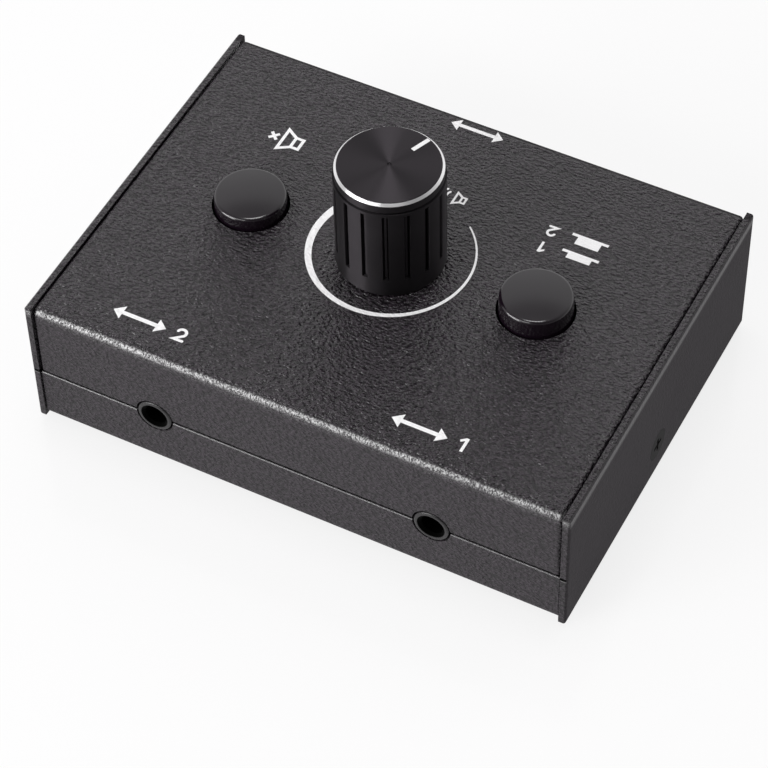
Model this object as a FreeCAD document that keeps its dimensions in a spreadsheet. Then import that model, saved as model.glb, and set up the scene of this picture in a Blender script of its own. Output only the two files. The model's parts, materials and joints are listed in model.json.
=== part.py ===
import FreeCAD, Part
import math
import os

import Sketcher

# A passive speaker selector switch: a two-piece sheet-metal case with a volume knob, two latching
# push buttons, two sockets at the front and one at the rear. Millimetres, +Z up. The origin is the
# centre of the case's plan, at the surface that the rubber feet stand on.

SIZES = {
    # sheet-metal case
    "case_width": 90.0,
    "case_depth": 66.0,
    "case_height": 24.4,
    "sheet": 1.2,
    "face_setback": 0.3,
    "bend_radius": 1.5,
    "side_edge_radius": 0.45,
    "cover_side_radius": 0.6,
    "seam_gap": 0.3,
    "seam_edge_radius": 0.2,
    "side_gap": 0.2,
    "corner_slit": 0.2,
    "side_flange_drop": 9.0,
    "tab_width": 14.0,
    "tab_lift": 1.0,
    # rubber feet
    "foot_height": 1.0,
    "foot_radius": 4.0,
    "foot_inset_side": 8.0,
    "foot_inset_front": 7.0,
    # countersunk screws through the side plates
    "side_screw_y": -0.7,
    "side_screw_height": 6.1,
    "side_screw_length": 4.0,
    "side_screw_head_radius": 2.6,
    "side_screw_radius": 1.5,
    "side_screw_play": 0.1,
    "screw_head_play": 0.05,
    "thread_play": 0.02,
    "recess_width": 0.6,
    "recess_length": 2.6,
    "recess_depth": 0.8,
    # circuit board on four standoffs
    "board_side_clearance": 3.8,
    "board_end_clearance": 1.5,
    "board_thickness": 1.6,
    "board_screw_inset": 3.5,
    "board_screw_radius": 1.25,
    "board_screw_head_radius": 2.25,
    "board_screw_head_height": 1.5,
    "board_screw_length": 5.0,
    "board_hole_play": 0.15,
    "standoff_radius": 2.75,
    "spigot_radius": 2.0,
    "spigot_play": 0.05,
    # 3.5 mm sockets, lying on the board with their axes in the seam of the case
    "jack_height": 10.3,
    "jack_centre_x": -0.4,
    "jack_spacing": 46.6,
    "rear_jack_x": -0.7,
    "jack_axis_rise": 3.5,
    "jack_hole_radius": 3.15,
    "jack_nose_radius": 2.9,
    "jack_nose_length": 1.5,
    "jack_nose_proud": 0.1,
    "jack_lip_radius": 0.35,
    "jack_bore_radius": 1.8,
    "jack_bore_length": 14.0,
    "jack_mouth_chamfer": 0.5,
    "jack_width": 8.4,
    "jack_top_rise": 3.4,
    "jack_body_length": 13.5,
    "contact_thickness": 0.3,
    "contact_width": 1.2,
    "contact_reach": 1.2,
    "contact_bore_gap": 0.08,
    "contact_slot_play": 0.12,
    "sleeve_contact_depth": 3.4,
    "ring_contact_depth": 7.4,
    "tip_contact_depth": 11.4,
    "pin_tail": 0.9,
    "pin_hole_radius": 0.75,
    # volume control under the knob
    "knob_x": -0.7,
    "knob_y": 0.9,
    "pot_width": 16.0,
    "pot_plate": 1.6,
    "pot_floor": 1.4,
    "pot_cavity_radius": 7.0,
    "neck_radius": 3.5,
    "neck_above_nut": 0.6,
    "neck_hole_play": 0.2,
    "shaft_radius": 3.0,
    "shaft_play": 0.04,
    "shaft_flat": 1.5,
    "shaft_flat_length": 9.0,
    "shaft_above_panel": 14.0,
    "pivot_radius": 2.0,
    "pivot_length": 1.0,
    "pivot_end_play": 0.2,
    "washer_radius": 5.6,
    "washer_thickness": 0.5,
    "nut_across_corners": 11.4,
    "nut_thickness": 2.0,
    "wafer_thickness": 1.0,
    "wafer_inner_radius": 3.6,
    "wafer_play": 0.05,
    "lower_wafer_rise": 4.0,
    "wafer_pitch": 5.4,
    "wiper_radius": 5.6,
    "wiper_thickness": 1.2,
    "wiper_rise": 1.2,
    "wiper_air": 0.1,
    "terminal_width": 1.0,
    "terminal_thickness": 0.3,
    "terminal_pitch": 5.0,
    "terminal_overlap": 1.0,
    "side_terminal_overlap": 2.2,
    "terminal_slot_play": 0.1,
    "lower_terminal_reach": 1.0,
    "upper_terminal_reach": 3.5,
    # knob
    "knob_height": 19.75,
    "knob_gap": 0.25,
    "knob_radius": 8.45,
    "knob_neck_radius": 8.2,
    "knob_wall": 1.3,
    "knob_top_thickness": 1.6,
    "knob_bevel": 0.45,
    "knob_land": 1.35,
    "knob_groove": 0.25,
    "knob_foot_chamfer": 0.2,
    "knob_recess_radius": 6.6,
    "knob_recess_clearance": 0.6,
    "core_play": 0.02,
    "core_foot_lift": 0.5,
    "core_key_play": 0.2,
    "slot_count": 16,
    "slot_mouth": 0.9,
    "slot_bottom_width": 0.35,
    "slot_depth": 0.6,
    "slot_low": 3.6,
    "slot_high": 17.2,
    "pointer_angle": 67.5,
    "pointer_inner": 4.45,
    "pointer_outer": 7.7,
    "pointer_width": 0.7,
    "pointer_depth": 0.3,
    "pointer_play": 0.01,
    "dimple_radius": 0.35,
    "dimple_depth": 0.15,
    # push buttons and their latching switches
    "button_spacing": 24.2,
    "button_y": 0.9,
    "button_rise": 3.6,
    "button_radius": 5.6,
    "button_draft": 0.1,
    "button_hole_play": 0.35,
    "button_height": 7.0,
    "button_wall": 1.2,
    "button_edge_radius": 0.55,
    "button_dome": 0.5,
    "button_stem_radius": 2.9,
    "socket_play": 0.02,
    "socket_depth": 5.0,
    "latch_travel": 0.95,
    "over_travel": 0.6,
    "switch_width": 8.5,
    "switch_height": 9.0,
    "switch_wall": 0.8,
    "switch_floor": 1.0,
    "lid_thickness": 0.6,
    "lid_stem_play": 0.2,
    "stem_width": 3.0,
    "stem_top_air": 0.05,
    "slider_play": 0.1,
    "slider_height": 3.2,
    "slider_top_air": 0.05,
    "spring_radius": 1.3,
    "spring_wire": 0.2,
    "spring_turns": 5,
    "spring_air": 0.05,
    "bridge_thickness": 0.2,
    "bridge_length": 4.8,
    "bridge_height": 1.6,
    "bridge_air": 0.04,
    "bridge_seat_play": 0.03,
    "switch_pin_width": 0.8,
    "switch_pin_thickness": 0.4,
    "switch_pin_pitch": 2.0,
    "switch_pin_rise": 6.6,
    "switch_pin_play": 0.03,
    "latch_wire_radius": 0.25,
    "latch_wire_play": 0.05,
    "latch_hook_radius": 0.22,
    "latch_hook_reach": 0.75,
    "latch_hook_rise": 0.35,
    "cam_width": 2.0,
    "cam_depth": 0.7,
    "cam_height": 2.3,
}

doc = FreeCAD.newDocument("SpeakerSelectorSwitch")

# the number by which a sketch's constraints name its own vertical axis
SKETCH_UPRIGHT = -2


class Size:
    """A length or count: its number, and the expression that the document keeps for it."""

    def __init__(self, number, text):
        self.number = number
        self.text = text

    def __add__(self, other):
        return combine(self, "+", other)

    def __radd__(self, other):
        return combine(other, "+", self)

    def __sub__(self, other):
        return combine(self, "-", other)

    def __rsub__(self, other):
        return combine(other, "-", self)

    def __mul__(self, other):
        return combine(self, "*", other)

    def __rmul__(self, other):
        return combine(other, "*", self)

    def __truediv__(self, other):
        return combine(self, "/", other)

    def __neg__(self):
        return combine(0, "-", self)


def as_size(value):
    """Turn a plain number into a Size, and leave a Size as it is."""
    if isinstance(value, Size):
        return value
    return Size(value, repr(value))


def combine(left, sign, right):
    """Join two sizes with +, -, * or /."""
    left = as_size(left)
    right = as_size(right)
    results = {
        "+": lambda: left.number + right.number,
        "-": lambda: left.number - right.number,
        "*": lambda: left.number * right.number,
        "/": lambda: left.number / right.number,
    }
    return Size(results[sign](), f"({left.text} {sign} {right.text})")


class Dimensions:
    """The sizes of the sheet, each read as an attribute."""

    def __getattr__(self, name):
        return Size(SIZES[name], f"Dimensions.{name}")


d = Dimensions()


def write_sheet():
    """Put every size in the document's spreadsheet, with its name as the cell's alias."""
    sheet = doc.addObject("Spreadsheet::Sheet", "Dimensions")
    for row, (name, number) in enumerate(SIZES.items(), start=1):
        sheet.set(f"A{row}", name)
        sheet.set(f"B{row}", str(number))
        sheet.setAlias(f"B{row}", name)
    doc.recompute()


# ---------------------------------------------------------------- shared places, all from the sheet

half_width = d.case_width / 2
half_depth = d.case_depth / 2
floor_bottom = d.foot_height
floor_top = floor_bottom + d.sheet
panel_top = d.foot_height + d.case_height
panel_under = panel_top - d.sheet
side_inner = half_width - d.sheet
face_outer = half_depth - d.face_setback
face_inner = face_outer - d.sheet
cover_side = side_inner - d.side_gap
seam = d.foot_height + d.jack_height
tray_edge = seam - d.seam_gap / 2
cover_edge = seam + d.seam_gap / 2
board_top = seam - d.jack_axis_rise
board_under = board_top - d.board_thickness
board_side = side_inner - d.board_side_clearance
board_end = face_inner - d.board_end_clearance
side_screw_z = floor_bottom + d.side_screw_height
jack_face = face_outer + d.jack_nose_proud
full_travel = d.latch_travel + d.over_travel

# each socket: the x of its axis and which way it faces, 1 to the front and -1 to the rear
JACKS = {
    "front_left_jack": (d.jack_centre_x - d.jack_spacing / 2, 1),
    "front_right_jack": (d.jack_centre_x + d.jack_spacing / 2, 1),
    "rear_jack": (d.rear_jack_x, -1),
}

# each button: the x of its axis and how far it stands pressed at rest
BUTTONS = {
    "mute": (d.knob_x - d.button_spacing, d.latch_travel),
    "selector": (d.knob_x + d.button_spacing, as_size(0)),
}

# each contact of a socket: the side of the bore it lies on and its depth from the nose's face
CONTACTS = {
    "sleeve": (1, d.sleeve_contact_depth),
    "ring": (-1, d.ring_contact_depth),
    "tip": (1, d.tip_contact_depth),
}

finished = []


def name_part(thing, name):
    """Give a finished sub-part its own label and list it for export."""
    thing.Label = name
    finished.append(thing)
    return thing


# ---------------------------------------------------------------- helpers for Part primitives

AXIS_TURNS = {
    "z": FreeCAD.Rotation(),
    "x": FreeCAD.Rotation(FreeCAD.Vector(0, 1, 0), 90),
    "-x": FreeCAD.Rotation(FreeCAD.Vector(0, 1, 0), -90),
    "y": FreeCAD.Rotation(FreeCAD.Vector(1, 0, 0), -90),
}


def bind(thing, path, value):
    """Keep one property of an object equal to a size's expression."""
    thing.setExpression(path, as_size(value).text)


def place(thing, x, y, z, turn=None):
    """Put an object at x, y, z, with each coordinate bound to its size."""
    base = FreeCAD.Vector(as_size(x).number, as_size(y).number, as_size(z).number)
    thing.Placement = FreeCAD.Placement(base, turn or FreeCAD.Rotation())
    bind(thing, "Placement.Base.x", x)
    bind(thing, "Placement.Base.y", y)
    bind(thing, "Placement.Base.z", z)


def cylinder(name, radius, height, x, y, z, axis="z"):
    """A cylinder whose lower end is centred at x, y, z."""
    rod = doc.addObject("Part::Cylinder", name)
    bind(rod, "Radius", radius)
    bind(rod, "Height", height)
    place(rod, x, y, z, AXIS_TURNS[axis])
    return rod


def cone(name, radius_low, radius_high, height, x, y, z, axis="z"):
    """A truncated cone whose lower end is centred at x, y, z."""
    taper = doc.addObject("Part::Cone", name)
    bind(taper, "Radius1", radius_low)
    bind(taper, "Radius2", radius_high)
    bind(taper, "Height", height)
    place(taper, x, y, z, AXIS_TURNS[axis])
    return taper


def block(name, x_low, x_high, y_low, y_high, z_low, z_high):
    """A box between two corners."""
    brick = doc.addObject("Part::Box", name)
    bind(brick, "Length", x_high - x_low)
    bind(brick, "Width", y_high - y_low)
    bind(brick, "Height", z_high - z_low)
    place(brick, x_low, y_low, z_low)
    return brick


def centred_block(name, width, depth, x, y, z_low, z_high):
    """A box centred on x, y in plan."""
    return block(name, x - width / 2, x + width / 2, y - depth / 2, y + depth / 2, z_low, z_high)


def fuse(name, pieces):
    """Join touching pieces into one solid."""
    joined = doc.addObject("Part::MultiFuse", name)
    joined.Shapes = pieces
    joined.Refine = True
    return joined


def group(name, pieces):
    """Keep several separate solids in one node."""
    bundle = doc.addObject("Part::Compound", name)
    bundle.Links = pieces
    return bundle


def cut(name, whole, tools):
    """Take the tools away from the whole."""
    remainder = doc.addObject("Part::Cut", name)
    remainder.Base = whole
    remainder.Tool = tools[0] if len(tools) == 1 else group(name + "_tools", tools)
    remainder.Refine = True
    return remainder


def cross_tools(name, x, y, z_low, z_high):
    """The two crossed slots of a screw's drive recess, seen from above."""
    wide = centred_block(name + "_slot_x", d.recess_length, d.recess_width, x, y, z_low, z_high)
    deep = centred_block(name + "_slot_y", d.recess_width, d.recess_length, x, y, z_low, z_high)
    return [wide, deep]


# ---------------------------------------------------------------- helpers for PartDesign bodies


def new_body(name):
    """An empty body."""
    return doc.addObject("PartDesign::Body", name)


def origin_plane(body, role):
    """One of the body's own origin planes."""
    return next(item for item in body.Origin.OriginFeatures if item.Role == role)


def new_sketch(body, name, role, offset=0):
    """A sketch on one of the body's origin planes, moved along the plane's normal."""
    sketch = body.newObject("Sketcher::SketchObject", name)
    sketch.AttachmentSupport = [(origin_plane(body, role), "")]
    sketch.MapMode = "FlatFace"
    sketch.AttachmentOffset.Base.z = as_size(offset).number
    bind(sketch, "AttachmentOffset.Base.z", offset)
    return sketch


def lock_point(sketch, index, position, x, y):
    """Hold one point of a sketch at x, y by two bound dimensions."""
    for letter, kind, value in (("x", "DistanceX", x), ("y", "DistanceY", y)):
        number = as_size(value).number
        rule = sketch.addConstraint(Sketcher.Constraint(kind, -1, 1, index, position, number))
        sketch.renameConstraint(rule, f"{letter}{index}")
        bind(sketch, f"Constraints.{letter}{index}", value)


def polygon(sketch, corners):
    """A closed outline of straight lines through the corners."""
    first = sketch.GeometryCount
    count = len(corners)
    points = [FreeCAD.Vector(as_size(x).number, as_size(y).number, 0) for x, y in corners]
    for step in range(count):
        sketch.addGeometry(Part.LineSegment(points[step], points[(step + 1) % count]))
    for step in range(count):
        following = first + (step + 1) % count
        sketch.addConstraint(Sketcher.Constraint("Coincident", first + step, 2, following, 1))
    for step, (x, y) in enumerate(corners):
        lock_point(sketch, first + step, 1, x, y)


def domed_section(sketch, corners):
    """A closed half section from the centre of a dome round to the dome's edge, and the dome's arc."""
    count = len(corners)
    points = [FreeCAD.Vector(as_size(x).number, as_size(y).number, 0) for x, y in corners]
    crown = points[0]
    edge = points[-1]
    drop = crown.y - edge.y
    radius = (edge.x ** 2 + drop ** 2) / (2 * drop)
    dome = Part.Circle(FreeCAD.Vector(0, crown.y - radius, 0), FreeCAD.Vector(0, 0, 1), radius)
    for step in range(count - 1):
        sketch.addGeometry(Part.LineSegment(points[step], points[step + 1]))
    slope = math.atan2(edge.y - crown.y + radius, edge.x)
    arc = sketch.addGeometry(Part.ArcOfCircle(dome, slope, math.pi / 2))
    for step in range(count - 1):
        sketch.addConstraint(Sketcher.Constraint("Coincident", step, 2, step + 1, 1))
    sketch.addConstraint(Sketcher.Constraint("Coincident", arc, 2, 0, 1))
    sketch.addConstraint(Sketcher.Constraint("PointOnObject", arc, 3, SKETCH_UPRIGHT))
    for step, (x, y) in enumerate(corners):
        lock_point(sketch, step, 1, x, y)


def rectangle(sketch, x_low, x_high, y_low, y_high):
    """A closed rectangle between two corners."""
    polygon(sketch, [(x_low, y_low), (x_high, y_low), (x_high, y_high), (x_low, y_high)])


def circle(sketch, x, y, radius):
    """A full circle."""
    index = sketch.GeometryCount
    centre = FreeCAD.Vector(as_size(x).number, as_size(y).number, 0)
    number = as_size(radius).number
    sketch.addGeometry(Part.Circle(centre, FreeCAD.Vector(0, 0, 1), number))
    lock_point(sketch, index, 3, x, y)
    rule = sketch.addConstraint(Sketcher.Constraint("Radius", index, number))
    sketch.renameConstraint(rule, f"r{index}")
    bind(sketch, f"Constraints.r{index}", radius)


def pad(body, name, sketch, length, symmetric=False):
    """Raise a sketch into a solid."""
    feature = body.newObject("PartDesign::Pad", name)
    feature.Profile = sketch
    feature.SideType = "Symmetric" if symmetric else "One side"
    bind(feature, "Length", length)
    return feature


def pocket(body, name, sketch, length, symmetric=False, upward=False):
    """Sink a sketch into the solid."""
    feature = body.newObject("PartDesign::Pocket", name)
    feature.Profile = sketch
    feature.SideType = "Symmetric" if symmetric else "One side"
    feature.Reversed = upward
    bind(feature, "Length", length)
    return feature


def revolve(body, name, sketch):
    """Turn a sketch once round its own vertical axis."""
    feature = body.newObject("PartDesign::Revolution", name)
    feature.Profile = sketch
    feature.ReferenceAxis = (sketch, ["V_Axis"])
    feature.Angle = 360
    return feature


def near(value, size):
    """Whether a coordinate lies at a size."""
    return abs(value - as_size(size).number) < 1e-4


def edge_ends(edge):
    """The two ends of an edge."""
    return edge.Vertexes[0].Point, edge.Vertexes[-1].Point


def lies_at(edge, x=None, y=None, z=None):
    """Whether both ends of an edge have the coordinates given."""
    wanted = [(0, x), (1, y), (2, z)]
    ends = edge_ends(edge)
    return all(near(end[axis], size) for axis, size in wanted if size is not None for end in ends)


def dress(body, kind, name, test, size):
    """Round or bevel the edges of the body that pass the test."""
    doc.recompute()
    base = body.Tip
    edges = [f"Edge{number}" for number, edge in enumerate(base.Shape.Edges, 1) if test(edge)]
    if not edges:
        raise RuntimeError(f"{name}: no edge found")
    feature = body.newObject(f"PartDesign::{kind}", name)
    feature.Base = (base, edges)
    bind(feature, "Radius" if kind == "Fillet" else "Size", size)
    return feature


def lengthwise(edge):
    """Whether an edge runs along X."""
    start, end = edge_ends(edge)
    return abs(start.x - end.x) > 1 and abs(start.y - end.y) < 1e-4 and abs(start.z - end.z) < 1e-4


def crosswise(edge):
    """Whether an edge runs along Y."""
    start, end = edge_ends(edge)
    return abs(start.y - end.y) > 1 and abs(start.x - end.x) < 1e-4 and abs(start.z - end.z) < 1e-4


# ---------------------------------------------------------------- sheet-metal case


def jack_notches(body, prefix):
    """Cut the round socket openings that straddle the seam, in the front and the rear wall."""
    for facing, side in ((1, "front"), (-1, "rear")):
        wall_middle = (face_outer - d.sheet / 2) * facing
        sketch = new_sketch(body, f"{prefix}_{side}_openings", "XZ_Plane", wall_middle)
        for x, way in JACKS.values():
            if way == facing:
                circle(sketch, x, seam, d.jack_hole_radius)
        pocket(body, f"{prefix}_{side}_notches", sketch, d.sheet * 2, symmetric=True)


def make_tray():
    """Floor with low front and rear walls, and the full-height side plates."""
    body = new_body("tray_body")
    flange_end = side_inner - d.corner_slit
    channel = new_sketch(body, "tray_channel_outline", "YZ_Plane")
    polygon(channel, [
        (-face_outer, floor_bottom),
        (face_outer, floor_bottom),
        (face_outer, tray_edge),
        (face_inner, tray_edge),
        (face_inner, floor_top),
        (-face_inner, floor_top),
        (-face_inner, tray_edge),
        (-face_outer, tray_edge),
    ])
    pad(body, "tray_channel", channel, flange_end * 2, symmetric=True)
    dress(body, "Fillet", "tray_outer_bends",
          lambda edge: lengthwise(edge) and lies_at(edge, z=floor_bottom), d.bend_radius)
    dress(body, "Fillet", "tray_inner_bends",
          lambda edge: lengthwise(edge) and lies_at(edge, z=floor_top), d.bend_radius - d.sheet)
    dress(body, "Fillet", "tray_rim_edges",
          lambda edge: lengthwise(edge) and lies_at(edge, z=tray_edge)
          and (lies_at(edge, y=face_outer) or lies_at(edge, y=-face_outer)), d.seam_edge_radius)

    strip = new_sketch(body, "floor_strip_outline", "XY_Plane", floor_bottom)
    strip_end = face_outer - d.bend_radius
    rectangle(strip, -side_inner, side_inner, -strip_end, strip_end)
    pad(body, "floor_strip", strip, d.sheet)

    plates = new_sketch(body, "side_plate_outline", "XY_Plane", floor_bottom)
    rectangle(plates, side_inner, half_width, -half_depth, half_depth)
    rectangle(plates, -half_width, -side_inner, -half_depth, half_depth)
    pad(body, "side_plates", plates, d.case_height)
    dress(body, "Fillet", "side_plate_edges",
          lambda edge: lies_at(edge, x=half_width) or lies_at(edge, x=-half_width),
          d.side_edge_radius)

    jack_notches(body, "tray")

    spigots = new_sketch(body, "standoff_holes_outline", "XY_Plane", floor_bottom + d.sheet / 2)
    for x, y in board_corners():
        circle(spigots, x, y, d.spigot_radius + d.spigot_play)
    pocket(body, "standoff_holes", spigots, d.sheet * 2, symmetric=True)

    screws = new_sketch(body, "side_screw_holes_outline", "YZ_Plane")
    circle(screws, d.side_screw_y, side_screw_z, d.side_screw_radius + d.side_screw_play)
    pocket(body, "side_screw_holes", screws, d.case_width * 2, symmetric=True)
    sink = d.side_screw_head_radius + d.screw_head_play - d.side_screw_radius - d.side_screw_play
    dress(body, "Chamfer", "screw_countersinks",
          lambda edge: round_hole(edge, half_width) or round_hole(edge, -half_width), sink)
    name_part(body, "bottom_tray")


def round_hole(edge, x):
    """Whether an edge is the circle of a side screw's hole on the plane at x."""
    if not isinstance(edge.Curve, Part.Circle):
        return False
    radius = d.side_screw_radius + d.side_screw_play
    return near(edge.Curve.Radius, radius) and near(edge.Curve.Center.x, x)


def make_cover():
    """Top panel with the upper front and rear walls, side flanges and two screw tabs."""
    body = new_body("cover_body")
    channel = new_sketch(body, "cover_channel_outline", "YZ_Plane")
    polygon(channel, [
        (-face_outer, cover_edge),
        (-face_inner, cover_edge),
        (-face_inner, panel_under),
        (face_inner, panel_under),
        (face_inner, cover_edge),
        (face_outer, cover_edge),
        (face_outer, panel_top),
        (-face_outer, panel_top),
    ])
    pad(body, "cover_channel", channel, cover_side * 2, symmetric=True)
    dress(body, "Fillet", "cover_outer_bends",
          lambda edge: lengthwise(edge) and lies_at(edge, z=panel_top), d.bend_radius)
    dress(body, "Fillet", "cover_inner_bends",
          lambda edge: lengthwise(edge) and lies_at(edge, z=panel_under), d.bend_radius - d.sheet)
    dress(body, "Fillet", "cover_rim_edges",
          lambda edge: lengthwise(edge) and lies_at(edge, z=cover_edge)
          and (lies_at(edge, y=face_outer) or lies_at(edge, y=-face_outer)), d.seam_edge_radius)

    flange_bottom = panel_top - d.side_flange_drop
    tab_bottom = floor_top + d.tab_lift
    flange_end = face_inner - d.bend_radius
    flanges = new_sketch(body, "side_flange_outline", "XY_Plane", flange_bottom)
    rectangle(flanges, cover_side - d.sheet, cover_side, -flange_end, flange_end)
    rectangle(flanges, -cover_side, d.sheet - cover_side, -flange_end, flange_end)
    pad(body, "side_flanges", flanges, d.side_flange_drop - d.sheet / 2)

    tabs = new_sketch(body, "screw_tab_outline", "XY_Plane", tab_bottom)
    tab_low = d.side_screw_y - d.tab_width / 2
    tab_high = d.side_screw_y + d.tab_width / 2
    rectangle(tabs, cover_side - d.sheet, cover_side, tab_low, tab_high)
    rectangle(tabs, -cover_side, d.sheet - cover_side, tab_low, tab_high)
    pad(body, "screw_tabs", tabs, flange_bottom - tab_bottom + d.sheet)
    dress(body, "Fillet", "cover_side_edges",
          lambda edge: crosswise(edge) and lies_at(edge, z=panel_top)
          and (lies_at(edge, x=cover_side) or lies_at(edge, x=-cover_side)),
          d.cover_side_radius)

    jack_notches(body, "cover")

    holes = new_sketch(body, "panel_holes_outline", "XY_Plane", panel_top - d.sheet / 2)
    for x, _ in BUTTONS.values():
        circle(holes, x, d.button_y, button_base_radius() + d.button_hole_play)
    circle(holes, d.knob_x, d.knob_y, d.neck_radius + d.neck_hole_play)
    pocket(body, "panel_holes", holes, d.sheet * 2, symmetric=True)

    threads = new_sketch(body, "tab_threads_outline", "YZ_Plane")
    circle(threads, d.side_screw_y, side_screw_z, d.side_screw_radius + d.thread_play)
    pocket(body, "tab_threads", threads, d.case_width * 2, symmetric=True)
    name_part(body, "top_cover")


def make_side_screws():
    """Two countersunk screws, one through each side plate into the cover's tab."""
    screws = []
    head_depth = d.side_screw_head_radius - d.side_screw_radius
    for side, word in ((-1, "left"), (1, "right")):
        axis = "x" if side < 0 else "-x"
        outer = half_width * side
        y = d.side_screw_y
        z = side_screw_z
        head = cone(f"{word}_screw_head", d.side_screw_head_radius, d.side_screw_radius,
                    head_depth, outer, y, z, axis)
        shank = cylinder(f"{word}_screw_shank", d.side_screw_radius, d.side_screw_length,
                         outer, y, z, axis)
        whole = fuse(f"{word}_screw_blank", [head, shank])
        inner = outer - d.recess_depth * side
        x_low, x_high = (outer, inner) if side < 0 else (inner, outer)
        half_long = d.recess_length / 2
        half_wide = d.recess_width / 2
        tall = block(f"{word}_recess_tall", x_low, x_high, y - half_wide, y + half_wide,
                     z - half_long, z + half_long)
        wide = block(f"{word}_recess_wide", x_low, x_high, y - half_long, y + half_long,
                     z - half_wide, z + half_wide)
        screws.append(cut(f"{word}_side_screw", whole, [tall, wide]))
    name_part(group("side_screw_pair", screws), "side_screws")


def make_feet():
    """Four round rubber pads under the floor."""
    pads = []
    x = half_width - d.foot_inset_side
    y = half_depth - d.foot_inset_front
    for number, (side, end) in enumerate(((-1, -1), (1, -1), (1, 1), (-1, 1)), start=1):
        pads.append(cylinder(f"foot_{number}", d.foot_radius, d.foot_height, x * side, y * end, 0))
    name_part(group("foot_set", pads), "rubber_feet")


# ---------------------------------------------------------------- circuit board and its fixings


def board_corners():
    """The four places where the board is screwed down."""
    x = board_side - d.board_screw_inset
    y = board_end - d.board_screw_inset
    return [(-x, -y), (x, -y), (x, y), (-x, y)]


def jack_pin_places():
    """Where the sockets' contacts pass through the board."""
    places = []
    offset = d.jack_bore_radius + d.contact_bore_gap + d.contact_thickness / 2
    for x, way in JACKS.values():
        for side, depth in CONTACTS.values():
            places.append((x + offset * (side * way), (depth - jack_face) * way))
    return places


def switch_pin_places():
    """Where the switches' pins pass through the board."""
    places = []
    offset = d.switch_width / 2 - d.switch_wall / 2
    for x, _ in BUTTONS.values():
        for side in (-1, 1):
            for row in (-1, 0, 1):
                places.append((x + offset * side, d.button_y + d.switch_pin_pitch * row))
    return places


def terminal_places():
    """Where the volume control's terminals pass through the board."""
    places = []
    for reach in (d.lower_terminal_reach, d.upper_terminal_reach):
        y = d.knob_y - d.pot_width / 2 - reach + d.terminal_thickness / 2
        for column in (-1, 0, 1):
            places.append((d.knob_x + d.terminal_pitch * column, y))
    return places


def make_board():
    """The printed circuit board, with its screw and pin holes."""
    body = new_body("board_body")
    outline = new_sketch(body, "board_outline", "XY_Plane", board_under)
    rectangle(outline, -board_side, board_side, -board_end, board_end)
    pad(body, "board_panel", outline, d.board_thickness)
    holes = new_sketch(body, "board_holes_outline", "XY_Plane", board_top - d.board_thickness / 2)
    for x, y in board_corners():
        circle(holes, x, y, d.board_screw_radius + d.board_hole_play)
    for x, y in jack_pin_places() + switch_pin_places() + terminal_places():
        circle(holes, x, y, d.pin_hole_radius)
    pocket(body, "board_holes", holes, d.board_thickness * 2, symmetric=True)
    name_part(body, "circuit_board")


def make_standoffs():
    """Four standoffs swaged into the floor, with threaded bores."""
    posts = []
    for number, (x, y) in enumerate(board_corners(), start=1):
        column = cylinder(f"standoff_column_{number}", d.standoff_radius, board_under - floor_top,
                          x, y, floor_top)
        spigot = cylinder(f"standoff_spigot_{number}", d.spigot_radius, d.sheet, x, y, floor_bottom)
        blank = fuse(f"standoff_blank_{number}", [column, spigot])
        bore = cylinder(f"standoff_bore_{number}", d.board_screw_radius + d.thread_play,
                        board_under - floor_bottom, x, y, floor_bottom)
        posts.append(cut(f"standoff_{number}", blank, [bore]))
    name_part(group("standoff_set", posts), "board_standoffs")


def make_board_screws():
    """Four pan-head screws that hold the board on the standoffs."""
    screws = []
    head_top = board_top + d.board_screw_head_height
    for number, (x, y) in enumerate(board_corners(), start=1):
        head = cylinder(f"board_screw_head_{number}", d.board_screw_head_radius,
                        d.board_screw_head_height, x, y, board_top)
        shank = cylinder(f"board_screw_shank_{number}", d.board_screw_radius,
                         d.board_screw_length, x, y, board_top - d.board_screw_length)
        blank = fuse(f"board_screw_blank_{number}", [head, shank])
        recess = cross_tools(f"board_screw_{number}", x, y, head_top - d.recess_depth, head_top)
        screws.append(cut(f"board_screw_{number}", blank, recess))
    name_part(group("board_screw_set", screws), "board_screws")


# ---------------------------------------------------------------- 3.5 mm sockets


def set_jack(thing, x, way):
    """Place a socket's piece: its own origin is on the axis at the nose's face, +Y going in."""
    turn = FreeCAD.Rotation(FreeCAD.Vector(0, 0, 1), 0 if way > 0 else 180)
    place(thing, x, -jack_face * way, seam, turn)


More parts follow.
